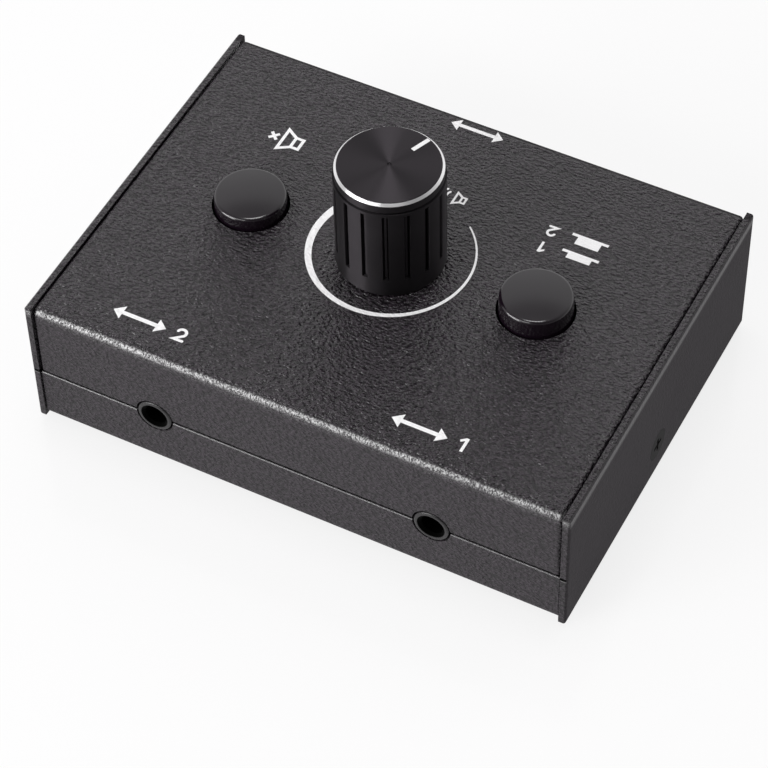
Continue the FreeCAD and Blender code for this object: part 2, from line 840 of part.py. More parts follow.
def make_jack(name, x, way):
    """A socket's moulded housing, with its nose, bore and contact slots, and its contacts."""
    body = new_body(f"{name}_body")
    half = d.jack_width / 2
    shell = new_sketch(body, f"{name}_shell_outline", "XZ_Plane", -d.jack_nose_length)
    rectangle(shell, -half, half, -d.jack_axis_rise, d.jack_top_rise)
    shell_pad = pad(body, f"{name}_shell", shell, d.jack_body_length)
    shell_pad.Reversed = True
    nose = new_sketch(body, f"{name}_nose_outline", "XZ_Plane", -d.jack_nose_length)
    circle(nose, 0, 0, d.jack_nose_radius)
    pad(body, f"{name}_nose", nose, d.jack_nose_length)
    bore = new_sketch(body, f"{name}_bore_outline", "XZ_Plane")
    circle(bore, 0, 0, d.jack_bore_radius)
    pocket(body, f"{name}_bore", bore, d.jack_bore_length)
    dress(body, "Fillet", f"{name}_lip", lambda edge: face_circle(edge, d.jack_nose_radius),
          d.jack_lip_radius)
    dress(body, "Chamfer", f"{name}_mouth", lambda edge: face_circle(edge, d.jack_bore_radius),
          d.jack_mouth_chamfer)

    slots = new_sketch(body, f"{name}_slots_outline", "XY_Plane", -d.jack_axis_rise)
    blade_low = d.jack_bore_radius + d.contact_bore_gap
    slot_low = blade_low - d.contact_slot_play
    slot_high = blade_low + d.contact_thickness + d.contact_slot_play
    half_slot = d.contact_width / 2 + d.contact_slot_play
    for side, depth in CONTACTS.values():
        low, high = (slot_low, slot_high) if side > 0 else (-slot_high, -slot_low)
        rectangle(slots, low, high, depth - half_slot, depth + half_slot)
    slot_height = d.jack_axis_rise + d.contact_reach + d.contact_slot_play
    pocket(body, f"{name}_slots", slots, slot_height, upward=True)
    set_jack(body, x, way)
    name_part(body, f"{name}_housing")

    blades = []
    tail = -(d.jack_axis_rise + d.board_thickness + d.pin_tail)
    blade_high = blade_low + d.contact_thickness
    for word, (side, depth) in CONTACTS.items():
        low, high = (blade_low, blade_high) if side > 0 else (-blade_high, -blade_low)
        half_blade = d.contact_width / 2
        blades.append(block(f"{name}_{word}_contact", low, high, depth - half_blade,
                            depth + half_blade, tail, d.contact_reach))
    contacts = group(f"{name}_contact_set", blades)
    set_jack(contacts, x, way)
    name_part(contacts, f"{name}_contacts")


def face_circle(edge, radius):
    """Whether an edge is a circle of this radius on the nose's face, at y = 0."""
    if not isinstance(edge.Curve, Part.Circle):
        return False
    return near(edge.Curve.Radius, radius) and near(edge.Curve.Center.y, 0)


# ---------------------------------------------------------------- volume control

pot_plate_top = panel_under
pot_body_top = pot_plate_top - d.pot_plate
washer_top = panel_top + d.washer_thickness
nut_top = washer_top + d.nut_thickness
neck_top = nut_top + d.neck_above_nut
cavity_floor = board_top + d.pot_floor
shaft_shoulder = cavity_floor + d.shaft_play
wafer_rises = (d.lower_wafer_rise, d.lower_wafer_rise + d.wafer_pitch)


def make_pot_body():
    """The square moulded body of the two-gang control, with slots for its terminals."""
    x = d.knob_x
    y = d.knob_y
    shell = centred_block("pot_shell", d.pot_width, d.pot_width, x, y, board_top, pot_body_top)
    cavity = cylinder("pot_cavity", d.pot_cavity_radius, pot_body_top - cavity_floor,
                      x, y, cavity_floor)
    pivot_depth = d.pivot_length + d.pivot_end_play
    pivot = cylinder("pot_pivot_hole", d.pivot_radius + d.shaft_play, pivot_depth,
                     x, y, cavity_floor - pivot_depth)
    tools = [fuse("pot_hollow", [cavity, pivot] + terminal_slots())]
    name_part(cut("pot_body_cut", shell, tools), "volume_pot_body")


def terminal_slots():
    """Openings in the front wall that the terminals come out through."""
    tools = []
    play = d.terminal_slot_play
    half = d.terminal_width / 2 + play
    outside = d.knob_y - d.pot_width / 2
    for level, rise in enumerate(wafer_rises):
        low = board_top + rise + d.wafer_thickness
        for column in (-1, 0, 1):
            x = d.knob_x + d.terminal_pitch * column
            tools.append(block(f"terminal_slot_{level}_{column + 2}", x - half, x + half, outside,
                               d.knob_y, low - play, low + d.terminal_thickness + play))
    return tools


def make_pot_terminals():
    """Six terminals, from the wafers out through the wall and down through the board."""
    pins = []
    half = d.terminal_width / 2
    outside = d.knob_y - d.pot_width / 2
    reaches = (d.lower_terminal_reach, d.upper_terminal_reach)
    for level, (rise, reach) in enumerate(zip(wafer_rises, reaches)):
        low = board_top + rise + d.wafer_thickness
        high = low + d.terminal_thickness
        edge = d.pot_cavity_radius - d.terminal_overlap
        for column in (-1, 0, 1):
            x = d.knob_x + d.terminal_pitch * column
            inner_end = d.knob_y - edge + d.side_terminal_overlap * abs(column)
            tag = f"{level}_{column + 2}"
            arm = block(f"terminal_arm_{tag}", x - half, x + half, outside - reach, inner_end,
                        low, high)
            leg = block(f"terminal_leg_{tag}", x - half, x + half, outside - reach,
                        outside - reach + d.terminal_thickness, board_under - d.pin_tail, high)
            pins.append(fuse(f"terminal_{tag}", [arm, leg]))
    name_part(group("terminal_set", pins), "volume_pot_terminals")


def make_pot_wafers():
    """Two resistor wafers, one for each channel."""
    rings = []
    x = d.knob_x
    y = d.knob_y
    for level, rise in enumerate(wafer_rises):
        low = board_top + rise
        disc = cylinder(f"wafer_disc_{level}", d.pot_cavity_radius - d.wafer_play,
                        d.wafer_thickness, x, y, low)
        hole = cylinder(f"wafer_hole_{level}", d.wafer_inner_radius, d.wafer_thickness, x, y, low)
        rings.append(cut(f"wafer_{level}", disc, [hole]))
    name_part(group("wafer_set", rings), "volume_pot_wafers")


def make_pot_bushing():
    """The cast front plate with its threaded neck, which passes through the panel."""
    x = d.knob_x
    y = d.knob_y
    plate = centred_block("bushing_plate", d.pot_width, d.pot_width, x, y,
                          pot_body_top, pot_plate_top)
    neck = cylinder("bushing_neck", d.neck_radius, neck_top - pot_plate_top, x, y, pot_plate_top)
    blank = fuse("bushing_blank", [plate, neck])
    bore = cylinder("bushing_bore", d.shaft_radius + d.shaft_play, neck_top - pot_body_top,
                    x, y, pot_body_top)
    name_part(cut("bushing_cut", blank, [bore]), "volume_pot_bushing")


def make_pot_fixings():
    """The washer and nut that clamp the neck to the panel, inside the knob's recess."""
    x = d.knob_x
    y = d.knob_y
    hole_radius = d.neck_radius + d.thread_play
    disc = cylinder("washer_disc", d.washer_radius, d.washer_thickness, x, y, panel_top)
    disc_hole = cylinder("washer_hole", hole_radius, d.washer_thickness, x, y, panel_top)
    name_part(cut("washer_cut", disc, [disc_hole]), "volume_pot_washer")
    hexagon = doc.addObject("Part::Prism", "nut_hexagon")
    hexagon.Polygon = 6
    bind(hexagon, "Circumradius", d.nut_across_corners / 2)
    bind(hexagon, "Height", d.nut_thickness)
    place(hexagon, x, y, washer_top)
    nut_hole = cylinder("nut_hole", hole_radius, d.nut_thickness, x, y, washer_top)
    name_part(cut("nut_cut", hexagon, [nut_hole]), "volume_pot_nut")


def make_pot_shaft():
    """The turning shaft, with a pivot at its foot and a flat at its top."""
    x = d.knob_x
    y = d.knob_y
    shaft_top = panel_top + d.shaft_above_panel
    pivot = cylinder("shaft_pivot", d.pivot_radius, d.pivot_length + d.shaft_play, x, y,
                     cavity_floor - d.pivot_length)
    rod = cylinder("shaft_rod", d.shaft_radius, shaft_top - shaft_shoulder, x, y, shaft_shoulder)
    blank = fuse("shaft_blank", [pivot, rod])
    flat_low = shaft_top - d.shaft_flat_length
    flat_y = y - d.shaft_radius
    flat = block("shaft_flat_tool", x - d.shaft_radius, x + d.shaft_radius, flat_y,
                 flat_y + d.shaft_flat, flat_low, shaft_top)
    name_part(cut("shaft_cut", blank, [flat]), "volume_pot_shaft")


def make_pot_wipers():
    """Two wiper discs on the shaft, each with a contact finger over its wafer."""
    discs = []
    x = d.knob_x
    y = d.knob_y
    finger_x = x + (d.wafer_inner_radius + d.wiper_radius) / 2
    half_finger = d.terminal_width / 2
    for level, rise in enumerate(wafer_rises):
        wafer_top = board_top + rise + d.wafer_thickness
        low = wafer_top + d.wiper_rise
        disc = cylinder(f"wiper_disc_{level}", d.wiper_radius, d.wiper_thickness, x, y, low)
        finger = block(f"wiper_finger_{level}", finger_x - half_finger, finger_x + half_finger,
                       y - half_finger, y + half_finger, wafer_top + d.wiper_air, low)
        blank = fuse(f"wiper_blank_{level}", [disc, finger])
        hole = cylinder(f"wiper_hole_{level}", d.shaft_radius + d.thread_play, d.wiper_thickness,
                        x, y, low)
        discs.append(cut(f"wiper_{level}", blank, [hole]))
    name_part(group("wiper_set", discs), "volume_pot_wipers")


# ---------------------------------------------------------------- knob


def set_knob(thing):
    """Place a piece of the knob: its own origin is on the axis at the panel, pointer along +X."""
    angle = d.pointer_angle
    place(thing, d.knob_x, d.knob_y, panel_top,
          FreeCAD.Rotation(FreeCAD.Vector(0, 0, 1), angle.number))


def make_knob_shell():
    """The turned metal skin: bevelled top, land, fine groove and slotted grip."""
    body = new_body("knob_shell_body")
    top = d.knob_height
    bevel_low = top - d.knob_bevel
    land_low = bevel_low - d.knob_land
    groove_low = land_low - d.knob_groove
    groove_in = d.knob_neck_radius - d.knob_groove
    inner = d.knob_radius - d.knob_wall
    outline = new_sketch(body, "knob_section", "XZ_Plane")
    polygon(outline, [
        (0, top),
        (0, top - d.knob_top_thickness),
        (inner, top - d.knob_top_thickness),
        (inner, d.knob_gap),
        (d.knob_radius - d.knob_foot_chamfer, d.knob_gap),
        (d.knob_radius, d.knob_gap + d.knob_foot_chamfer),
        (d.knob_radius, groove_low),
        (groove_in, groove_low),
        (groove_in, land_low),
        (d.knob_neck_radius, land_low),
        (d.knob_neck_radius, bevel_low),
        (d.knob_neck_radius - d.knob_bevel, top),
    ])
    revolve(body, "knob_turning", outline)

    slot = new_sketch(body, "grip_slot_outline", "XY_Plane", d.slot_low)
    slot_bottom = d.knob_radius - d.slot_depth
    over = d.knob_radius + d.slot_depth
    half_mouth = d.slot_mouth / 2
    half_bottom = d.slot_bottom_width / 2
    slope = (half_mouth - half_bottom) * 2
    polygon(slot, [
        (slot_bottom, -half_bottom),
        (over, -half_bottom - slope),
        (over, half_bottom + slope),
        (slot_bottom, half_bottom),
    ])
    first = pocket(body, "grip_slot", slot, d.slot_high - d.slot_low, upward=True)
    doc.recompute()
    ring = body.newObject("PartDesign::PolarPattern", "grip_slots")
    ring.Originals = [first]
    ring.Axis = (slot, ["N_Axis"])
    ring.Angle = 360
    bind(ring, "Occurrences", d.slot_count)
    body.Tip = ring

    pointer = new_sketch(body, "pointer_groove_outline", "XY_Plane", top)
    half_line = d.pointer_width / 2
    rectangle(pointer, d.pointer_inner, d.pointer_outer, -half_line, half_line)
    pocket(body, "pointer_groove", pointer, d.pointer_depth)
    dimple = new_sketch(body, "dimple_outline", "XY_Plane", top)
    circle(dimple, 0, 0, d.dimple_radius)
    pocket(body, "dimple", dimple, d.dimple_depth)
    set_knob(body)
    name_part(body, "knob_shell")


def make_knob_core():
    """The moulded core that grips the flat shaft and clears the nut below."""
    body = new_body("knob_core_body")
    radius = d.knob_radius - d.knob_wall - d.core_play
    core_top = d.knob_height - d.knob_top_thickness - d.core_play
    core_low = d.knob_gap + d.core_foot_lift
    roof = neck_top - panel_top + d.knob_recess_clearance
    bore = d.shaft_radius + d.core_play
    bore_top = d.shaft_above_panel + d.core_foot_lift
    section = new_sketch(body, "core_section", "XZ_Plane")
    polygon(section, [
        (0, core_top),
        (0, bore_top),
        (bore, bore_top),
        (bore, roof),
        (d.knob_recess_radius, roof),
        (d.knob_recess_radius, core_low),
        (radius, core_low),
        (radius, core_top),
    ])
    revolve(body, "core_moulding", section)
    key_low = d.shaft_above_panel - d.shaft_flat_length + d.core_key_play
    key_face = d.shaft_flat - d.shaft_radius - d.core_play
    key = new_sketch(body, "core_key_outline", "XY_Plane", key_low)
    rectangle(key, -bore, bore, -bore, key_face)
    pad(body, "core_key", key, bore_top - key_low)
    place(body, d.knob_x, d.knob_y, panel_top)
    name_part(body, "knob_core")


def make_knob_pointer():
    """The white line let into the knob's top."""
    body = new_body("knob_pointer_body")
    play = d.pointer_play
    half_line = d.pointer_width / 2 - play
    outline = new_sketch(body, "pointer_outline", "XY_Plane", d.knob_height - d.pointer_depth)
    rectangle(outline, d.pointer_inner + play, d.pointer_outer - play, -half_line, half_line)
    pad(body, "pointer_line", outline, d.pointer_depth)
    set_knob(body)
    name_part(body, "knob_pointer")


# ---------------------------------------------------------------- push buttons and switches


def button_base_radius():
    """The cap's radius at the panel, a little wider than at its top edge."""
    return d.button_radius + d.button_draft


slider_top = board_top + d.switch_height - d.slider_top_air
slider_low = slider_top - d.slider_height
spring_low = board_top + d.switch_floor
cap_top = panel_top + d.button_rise
socket_top = cap_top - d.button_height + d.socket_depth


def make_cap(name, x, drop):
    """The round cap, gently domed, hollow below, with a square socket for the stem."""
    body = new_body(f"{name}_cap_body")
    low = -d.button_height
    stem_roof = low + d.socket_depth
    roof = stem_roof + d.button_wall - d.stem_top_air
    base = button_base_radius()
    section = new_sketch(body, f"{name}_cap_section", "XZ_Plane")
    domed_section(section, [
        (0, 0),
        (0, low),
        (d.button_stem_radius, low),
        (d.button_stem_radius, roof - d.button_wall / 2),
        (base - d.button_wall, roof - d.button_wall / 2),
        (base - d.button_wall, low),
        (base, low),
        (base, -d.button_rise),
        (d.button_radius, -d.button_dome),
    ])
    revolve(body, f"{name}_cap_turning", section)
    dress(body, "Fillet", f"{name}_cap_edge",
          lambda edge: not edge.Degenerated and isinstance(edge.Curve, Part.Circle)
          and near(edge.Curve.Radius, d.button_radius), d.button_edge_radius)
    socket = new_sketch(body, f"{name}_socket_outline", "XY_Plane", low)
    half = d.stem_width / 2 + d.socket_play
    rectangle(socket, -half, half, -half, half)
    pocket(body, f"{name}_socket", socket, d.socket_depth, upward=True)
    place(body, x, d.button_y, cap_top - drop)
    name_part(body, f"{name}_button_cap")


def make_switch_housing(name, x):
    """The open-topped housing, slotted for its pins and its latch wire."""
    y = d.button_y
    shell = centred_block(f"{name}_shell", d.switch_width, d.switch_width, x, y,
                          board_top, board_top + d.switch_height)
    inside = d.switch_width - d.switch_wall * 2
    cavity = centred_block(f"{name}_cavity", inside, inside, x, y,
                           board_top + d.switch_floor, board_top + d.switch_height)
    tools = [cavity]
    slot_width = d.switch_pin_width + d.switch_pin_play * 2
    for side in (-1, 1):
        wall_x = x + (d.switch_width / 2 - d.switch_wall / 2) * side
        for row in (-1, 0, 1):
            pin_y = y + d.switch_pin_pitch * row
            tools.append(centred_block(f"{name}_pin_slot_{side + 2}_{row + 2}", d.switch_wall,
                                       slot_width, wall_x, pin_y, board_top,
                                       board_top + d.switch_pin_rise + d.switch_pin_play))
    wire_slot = (d.latch_wire_radius + d.latch_wire_play) * 2
    wall_y = y - d.switch_width / 2 + d.switch_wall / 2
    tools.append(centred_block(f"{name}_wire_slot", wire_slot, d.switch_wall, x, wall_y,
                               board_top + d.switch_floor, board_top + d.switch_height))
    hollow = fuse(f"{name}_hollow", tools)
    name_part(cut(f"{name}_housing_cut", shell, [hollow]), f"{name}_switch_housing")


def make_switch_lid(name, x):
    """The lid that the stem comes out through."""
    y = d.button_y
    low = board_top + d.switch_height
    high = low + d.lid_thickness
    plate = centred_block(f"{name}_lid_plate", d.switch_width, d.switch_width, x, y, low, high)
    gap = d.stem_width + d.lid_stem_play * 2
    hole = centred_block(f"{name}_lid_hole", gap, gap, x, y, low, high)
    name_part(cut(f"{name}_lid_cut", plate, [hole]), f"{name}_switch_lid")


def make_switch_plunger(name, x, drop):
    """The slider and its square stem, with seats for the bridges and the latch's cam track."""
    y = d.button_y
    width = d.switch_width - d.switch_wall * 2 - d.slider_play * 2
    low = slider_low - drop
    high = slider_top - drop
    slider = centred_block(f"{name}_slider", width, width, x, y, low, high)
    stem = centred_block(f"{name}_stem", d.stem_width, d.stem_width, x, y, high,
                         socket_top - d.stem_top_air - drop)
    blank = fuse(f"{name}_plunger_blank", [slider, stem])
    tools = []
    half_seat = d.bridge_length / 2 + d.bridge_seat_play
    seat_depth = d.bridge_thickness + d.bridge_air
    for side in (-1, 1):
        outer = x + (width / 2) * side
        inner = outer - seat_depth * side
        x_low, x_high = (outer, inner) if side < 0 else (inner, outer)
        tools.append(block(f"{name}_bridge_seat_{side + 2}", x_low, x_high, y - half_seat,
                           y + half_seat, low, low + d.bridge_height + d.bridge_seat_play))
    face = y - width / 2
    cam_low = cam_bottom(drop)
    tools.append(block(f"{name}_cam_track", x - d.cam_width / 2, x + d.cam_width / 2, face,
                       face + d.cam_depth, cam_low, cam_low + d.cam_height))
    name_part(cut(f"{name}_plunger_cut", blank, tools), f"{name}_switch_plunger")


def cam_bottom(drop):
    """The lower end of the latch's cam track in the slider."""
    return slider_low + (d.slider_height - d.cam_height) / 2 - drop


def make_switch_bridges(name, x, drop):
    """Two sliding contact bridges carried by the slider."""
    plates = []
    y = d.button_y
    width = d.switch_width - d.switch_wall * 2 - d.slider_play * 2
    low = slider_low - drop
    half = d.bridge_length / 2
    for side in (-1, 1):
        inner = x + (width / 2 - d.bridge_thickness - d.bridge_air / 2) * side
        outer = inner + d.bridge_thickness * side
        x_low, x_high = (outer, inner) if side < 0 else (inner, outer)
        plates.append(block(f"{name}_bridge_{side + 2}", x_low, x_high, y - half, y + half,
                            low, low + d.bridge_height))
    name_part(group(f"{name}_bridge_pair", plates), f"{name}_switch_bridges")


def make_switch_pins(name, x):
    """Six fixed contacts in the side walls, whose tails pass through the board."""
    pins = []
    for side in (-1, 1):
        wall_x = x + (d.switch_width / 2 - d.switch_wall / 2) * side
        for row in (-1, 0, 1):
            pin_y = d.button_y + d.switch_pin_pitch * row
            pins.append(centred_block(f"{name}_pin_{side + 2}_{row + 2}", d.switch_pin_thickness,
                                      d.switch_pin_width, wall_x, pin_y,
                                      board_under - d.pin_tail, board_top + d.switch_pin_rise))
    name_part(group(f"{name}_pin_set", pins), f"{name}_switch_pins")


def coil_path(pitch, radius, turns):
    """A helix made of quarter turns, one edge each, so that the wire swept along it stays true."""
    edges = []
    axis = FreeCAD.Vector(0, 0, 1)
    for step in range(round(turns * 4)):
        quarter = Part.makeHelix(pitch, pitch / 4, radius).Edges[0]
        quarter.rotate(FreeCAD.Vector(), axis, 90 * step)
        quarter.translate(axis * (pitch / 4 * step))
        edges.append(quarter)
    return Part.Wire(edges)


def make_switch_spring(name, x, drop):
    """The coil spring under the slider, as long as the slider's rest place leaves it."""
    wire = d.spring_wire.number
    radius = d.spring_radius.number
    turns = d.spring_turns.number
    air = d.spring_air.number
    foot = spring_low.number + wire + air
    rise = slider_low.number - drop.number - wire - air - foot
    pitch = rise / turns
    slope = math.atan2(pitch, 2 * math.pi * radius)
    along = FreeCAD.Vector(0, math.cos(slope), math.sin(slope))
    section = Part.Wire([Part.makeCircle(wire, FreeCAD.Vector(radius, 0, 0), along)])
    coil = coil_path(pitch, radius, turns).makePipeShell([section], True, True)
    spring = doc.addObject("Part::Feature", f"{name}_spring_coil")
    spring.Shape = coil
    spring.Placement.Base = FreeCAD.Vector(x.number, d.button_y.number, foot)
    name_part(spring, f"{name}_switch_spring")


def make_latch_wire(name, x):
    """The bent latch wire: it stands in the front wall and hooks into the slider's cam track."""
    radius = d.latch_wire_radius
    wall_y = d.button_y - d.switch_width / 2 + d.switch_wall / 2
    low = board_top + d.switch_floor
    rest = cam_bottom(as_size(0)) + d.latch_hook_rise
    post = cylinder(f"{name}_wire_post", radius, rest - low + radius, x, wall_y, low)
    hook = cylinder(f"{name}_wire_hook", d.latch_hook_radius, d.latch_hook_reach, x, wall_y, rest,
                    "y")
    name_part(fuse(f"{name}_wire", [post, hook]), f"{name}_latch_wire")


def make_button(name, x, drop):
    """One push button with the latching switch below it."""
    make_cap(name, x, drop)
    make_switch_housing(name, x)
    make_switch_lid(name, x)
    make_switch_plunger(name, x, drop)
    make_switch_bridges(name, x, drop)
    make_switch_pins(name, x)
    make_switch_spring(name, x, drop)
    make_latch_wire(name, x)


# ---------------------------------------------------------------- the whole part


def check_document():
    """Stop if any object failed, or any sub-part has no valid shape."""
    for thing in doc.Objects:
        if "Invalid" in thing.State or "Error" in thing.State:
            raise RuntimeError(f"{thing.Label}: {thing.State}")
    for thing in finished:
        if thing.Shape.isNull() or not thing.Shape.isValid():
            raise RuntimeError(f"{thing.Label}: no valid shape")


def write_parts():
    """Write each sub-part to its own file."""
    os.makedirs("parts", exist_ok=True)
    for thing in finished:
        thing.Shape.exportStep(os.path.join("parts", thing.Label + ".step"))
        solids = len(thing.Shape.Solids)
        print(f"{thing.Label}: {solids} solid(s), {thing.Shape.Volume:.1f} mm3")


write_sheet()
make_tray()
make_cover()
make_side_screws()
make_feet()
make_board()
make_standoffs()
make_board_screws()
for jack_name, (jack_x, jack_way) in JACKS.items():
    make_jack(jack_name, jack_x, jack_way)
make_pot_body()
make_pot_terminals()
make_pot_wafers()
make_pot_bushing()
make_pot_fixings()
make_pot_shaft()
make_pot_wipers()
make_knob_shell()
make_knob_core()
make_knob_pointer()
for button_name, (button_x, button_drop) in BUTTONS.items():
    make_button(button_name, button_x, button_drop)
doc.recompute()
check_document()
write_parts()
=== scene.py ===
import json
import math

import bpy
from bpy.props import FloatProperty, FloatVectorProperty, IntProperty, PointerProperty
from mathutils import Euler, Matrix, Vector


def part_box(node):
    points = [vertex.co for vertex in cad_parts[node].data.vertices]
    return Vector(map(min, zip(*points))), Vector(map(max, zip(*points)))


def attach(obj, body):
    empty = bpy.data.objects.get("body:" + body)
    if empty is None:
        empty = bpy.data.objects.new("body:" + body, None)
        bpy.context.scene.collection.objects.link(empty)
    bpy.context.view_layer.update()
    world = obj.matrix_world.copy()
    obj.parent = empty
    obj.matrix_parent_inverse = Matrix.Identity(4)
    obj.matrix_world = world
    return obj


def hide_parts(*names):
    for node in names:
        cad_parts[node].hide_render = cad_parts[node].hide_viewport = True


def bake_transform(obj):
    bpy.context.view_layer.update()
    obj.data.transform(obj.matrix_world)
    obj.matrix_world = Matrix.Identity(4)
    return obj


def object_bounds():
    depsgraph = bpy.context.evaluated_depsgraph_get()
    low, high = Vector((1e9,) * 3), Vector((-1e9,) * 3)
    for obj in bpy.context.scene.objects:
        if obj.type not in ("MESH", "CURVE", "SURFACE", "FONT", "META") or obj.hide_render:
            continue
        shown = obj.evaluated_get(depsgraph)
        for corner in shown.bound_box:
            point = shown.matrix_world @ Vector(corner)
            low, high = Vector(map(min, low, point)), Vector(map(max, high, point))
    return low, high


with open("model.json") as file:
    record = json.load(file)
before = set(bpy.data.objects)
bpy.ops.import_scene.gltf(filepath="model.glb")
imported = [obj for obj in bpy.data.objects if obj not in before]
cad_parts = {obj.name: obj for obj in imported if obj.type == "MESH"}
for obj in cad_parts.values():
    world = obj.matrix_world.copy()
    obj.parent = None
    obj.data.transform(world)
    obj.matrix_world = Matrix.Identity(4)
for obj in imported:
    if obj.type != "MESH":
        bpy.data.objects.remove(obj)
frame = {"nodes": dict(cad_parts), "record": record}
cad_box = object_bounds()

bl_info = {
    "name": "Speaker selector switch",
    "version": (1, 0, 0),
    "blender": (4, 5, 0),
    "location": "View3D > Sidebar > Selector switch",
    "description": "Finishes, panel printing and studio stage of a desktop speaker selector switch",
    "category": "Object",
}

MM = 0.001

# ---------------------------------------------------------------- places read from the frame

PANEL_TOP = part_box("top_cover")[1].z
CASE_LOW, CASE_HIGH = cad_box
KNOB_LOW, KNOB_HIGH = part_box("knob_shell")
KNOB_CENTRE = (KNOB_LOW + KNOB_HIGH) / 2
KNOB_RADIUS = (KNOB_HIGH.x - KNOB_LOW.x) / 2
SOCKETS = ("front_left_jack", "front_right_jack", "rear_jack")
SOCKET_AXIS = frame["record"]["mounts"][0]["pos_m"][2]
WALL_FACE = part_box("top_cover")[1].y
SWITCHES = ("mute", "selector")

# ---------------------------------------------------------------- fixed places

# Bands of the powder coat, each from where it starts to where it is full. Depths are under the
# panel's face, margins are inside the walls' outer faces.
WALL_DEPTH = (1.2 * MM, 2.2 * MM)
BEND_FOOT_DEPTH = (0.90 * MM, 1.35 * MM)
BEND_HEAD_DEPTH = (0.15 * MM, 0.38 * MM)
BEND_MARGIN = (1.5 * MM, 2.0 * MM)
# The rear band and the side margin also mark where painted shade darkens the coat.
BACK_DEPTH = (1.4 * MM, 2.2 * MM)
BACK_MARGIN = (0.9 * MM, 1.5 * MM)
SIDE_MARGIN = (0.1 * MM, 0.3 * MM)

# The seam between the two halves: the tray's bright rim and the painted shadow of the gap over it,
# each with its height and the half widths between which it fades.
SEAM_RIM = SOCKET_AXIS - 0.26 * MM
SEAM_RIM_HALF = (0.08 * MM, 0.14 * MM)
SEAM_SHADE = SOCKET_AXIS + 0.15 * MM
SEAM_SHADE_HALF = (0.26 * MM, 0.32 * MM)

# The mouth of a socket's bore, by the radii between which its painted shade fades.
MOUTH_SHADE_RADIUS = (2.2 * MM, 2.35 * MM)

# The least cosine of half a corner's turn that a drawn line's mitre follows.
SHARPEST_MITRE = 0.35

# The volume scale's two ends, as angles from the right.
SCALE_QUIET, SCALE_LOUD = math.radians(50), math.radians(50 - 285)

# Each softbox: the property that holds its power, its size and its place.
SOFTBOXES = {
    "key_lamp": ("key_power", (0.25, 0.25), (-0.02, 0.05, 0.75)),
    "front_softbox": ("front_power", (0.96, 0.19), (-0.296, -0.947, 0.702)),
    "side_softbox": ("side_power", (0.70, 0.30), (-0.60, -0.80, 0.24)),
}

# Directions over the floor in which the sky is bright and in which it glows, and the glow's
# lowest and highest angle of fading.
SKY_BEHIND = (-0.48, 0.88)
SKY_GLOW = (-0.42, 0.91)
GLOW_ANGLES = (math.radians(48), math.radians(63))

FLOOR_HALF = 2.0
FLOOR_HEIGHT = -0.01 * MM


def centre_of(node):
    """The middle of a node's box."""
    low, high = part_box(node)
    return (low + high) / 2


# ---------------------------------------------------------------- sizes and colours to change


class CaseLooks(bpy.types.PropertyGroup):
    """The powder coat on the two sheet-metal halves."""

    coat_colour: FloatVectorProperty(
        name="Coat colour", description="Colour of the powder coat",
        default=(0.0212, 0.0162, 0.0212), size=3, min=0, max=1, subtype="COLOR")
    coat_roughness: FloatProperty(
        name="Coat roughness", description="How matt the powder coat is on the panel",
        default=0.24, min=0, max=1, subtype="FACTOR")
    face_roughness: FloatProperty(
        name="Face roughness", description="How matt the coat is on the front and rear walls",
        default=0.62, min=0, max=1, subtype="FACTOR")
    side_roughness: FloatProperty(
        name="Side roughness", description="How matt the coat is on the side plates",
        default=0.85, min=0, max=1, subtype="FACTOR")
    grain_size: FloatProperty(
        name="Grain size", description="Width of one pebble of the leathery grain",
        default=0.46 * MM, min=0.05 * MM, max=3 * MM, subtype="DISTANCE", unit="LENGTH")
    grain_depth: FloatProperty(
        name="Grain depth", description="Height of the pebbles over the creases between them",
        default=0.50 * MM, min=0, max=1 * MM, subtype="DISTANCE", unit="LENGTH")


class KnobLooks(bpy.types.PropertyGroup):
    """The turned and anodised volume knob."""

    anodised_colour: FloatVectorProperty(
        name="Anodised colour", description="Colour of the anodised aluminium",
        default=(0.034, 0.031, 0.034), size=3, min=0, max=1, subtype="COLOR")
    disc_colour: FloatVectorProperty(
        name="Disc colour", description="Colour of the finely turned top",
        default=(0.0445, 0.040, 0.0445), size=3, min=0, max=1, subtype="COLOR")
    bright_colour: FloatVectorProperty(
        name="Bright cut colour", description="Colour of the bare metal on the cut bevel",
        default=(0.82, 0.81, 0.82), size=3, min=0, max=1, subtype="COLOR")
    bevel_width: FloatProperty(
        name="Bevel width", description="Width and height of the cut bevel round the top",
        default=0.45 * MM, min=0.05 * MM, max=2 * MM, subtype="DISTANCE", unit="LENGTH")
    turning_pitch: FloatProperty(
        name="Turning pitch", description="Distance between the lathe lines on the top",
        default=0.13 * MM, min=0.01 * MM, max=1 * MM, subtype="DISTANCE", unit="LENGTH")


class ButtonLooks(bpy.types.PropertyGroup):
    """The glossy push-button caps."""

    cap_colour: FloatVectorProperty(
        name="Cap colour", description="Colour of the moulded caps",
        default=(0.006, 0.003, 0.006), size=3, min=0, max=1, subtype="COLOR")
    cap_roughness: FloatProperty(
        name="Cap roughness", description="How far the caps are from a mirror gloss",
        default=0.16, min=0, max=1, subtype="FACTOR")
    spring_wire: FloatProperty(
        name="Spring wire", description="Radius of the wire of the switch springs",
        default=0.2 * MM, min=0.05 * MM, max=0.4 * MM, subtype="DISTANCE", unit="LENGTH")
    spring_turns: IntProperty(
        name="Spring turns", description="Turns of each switch spring",
        default=5, min=2, max=9)


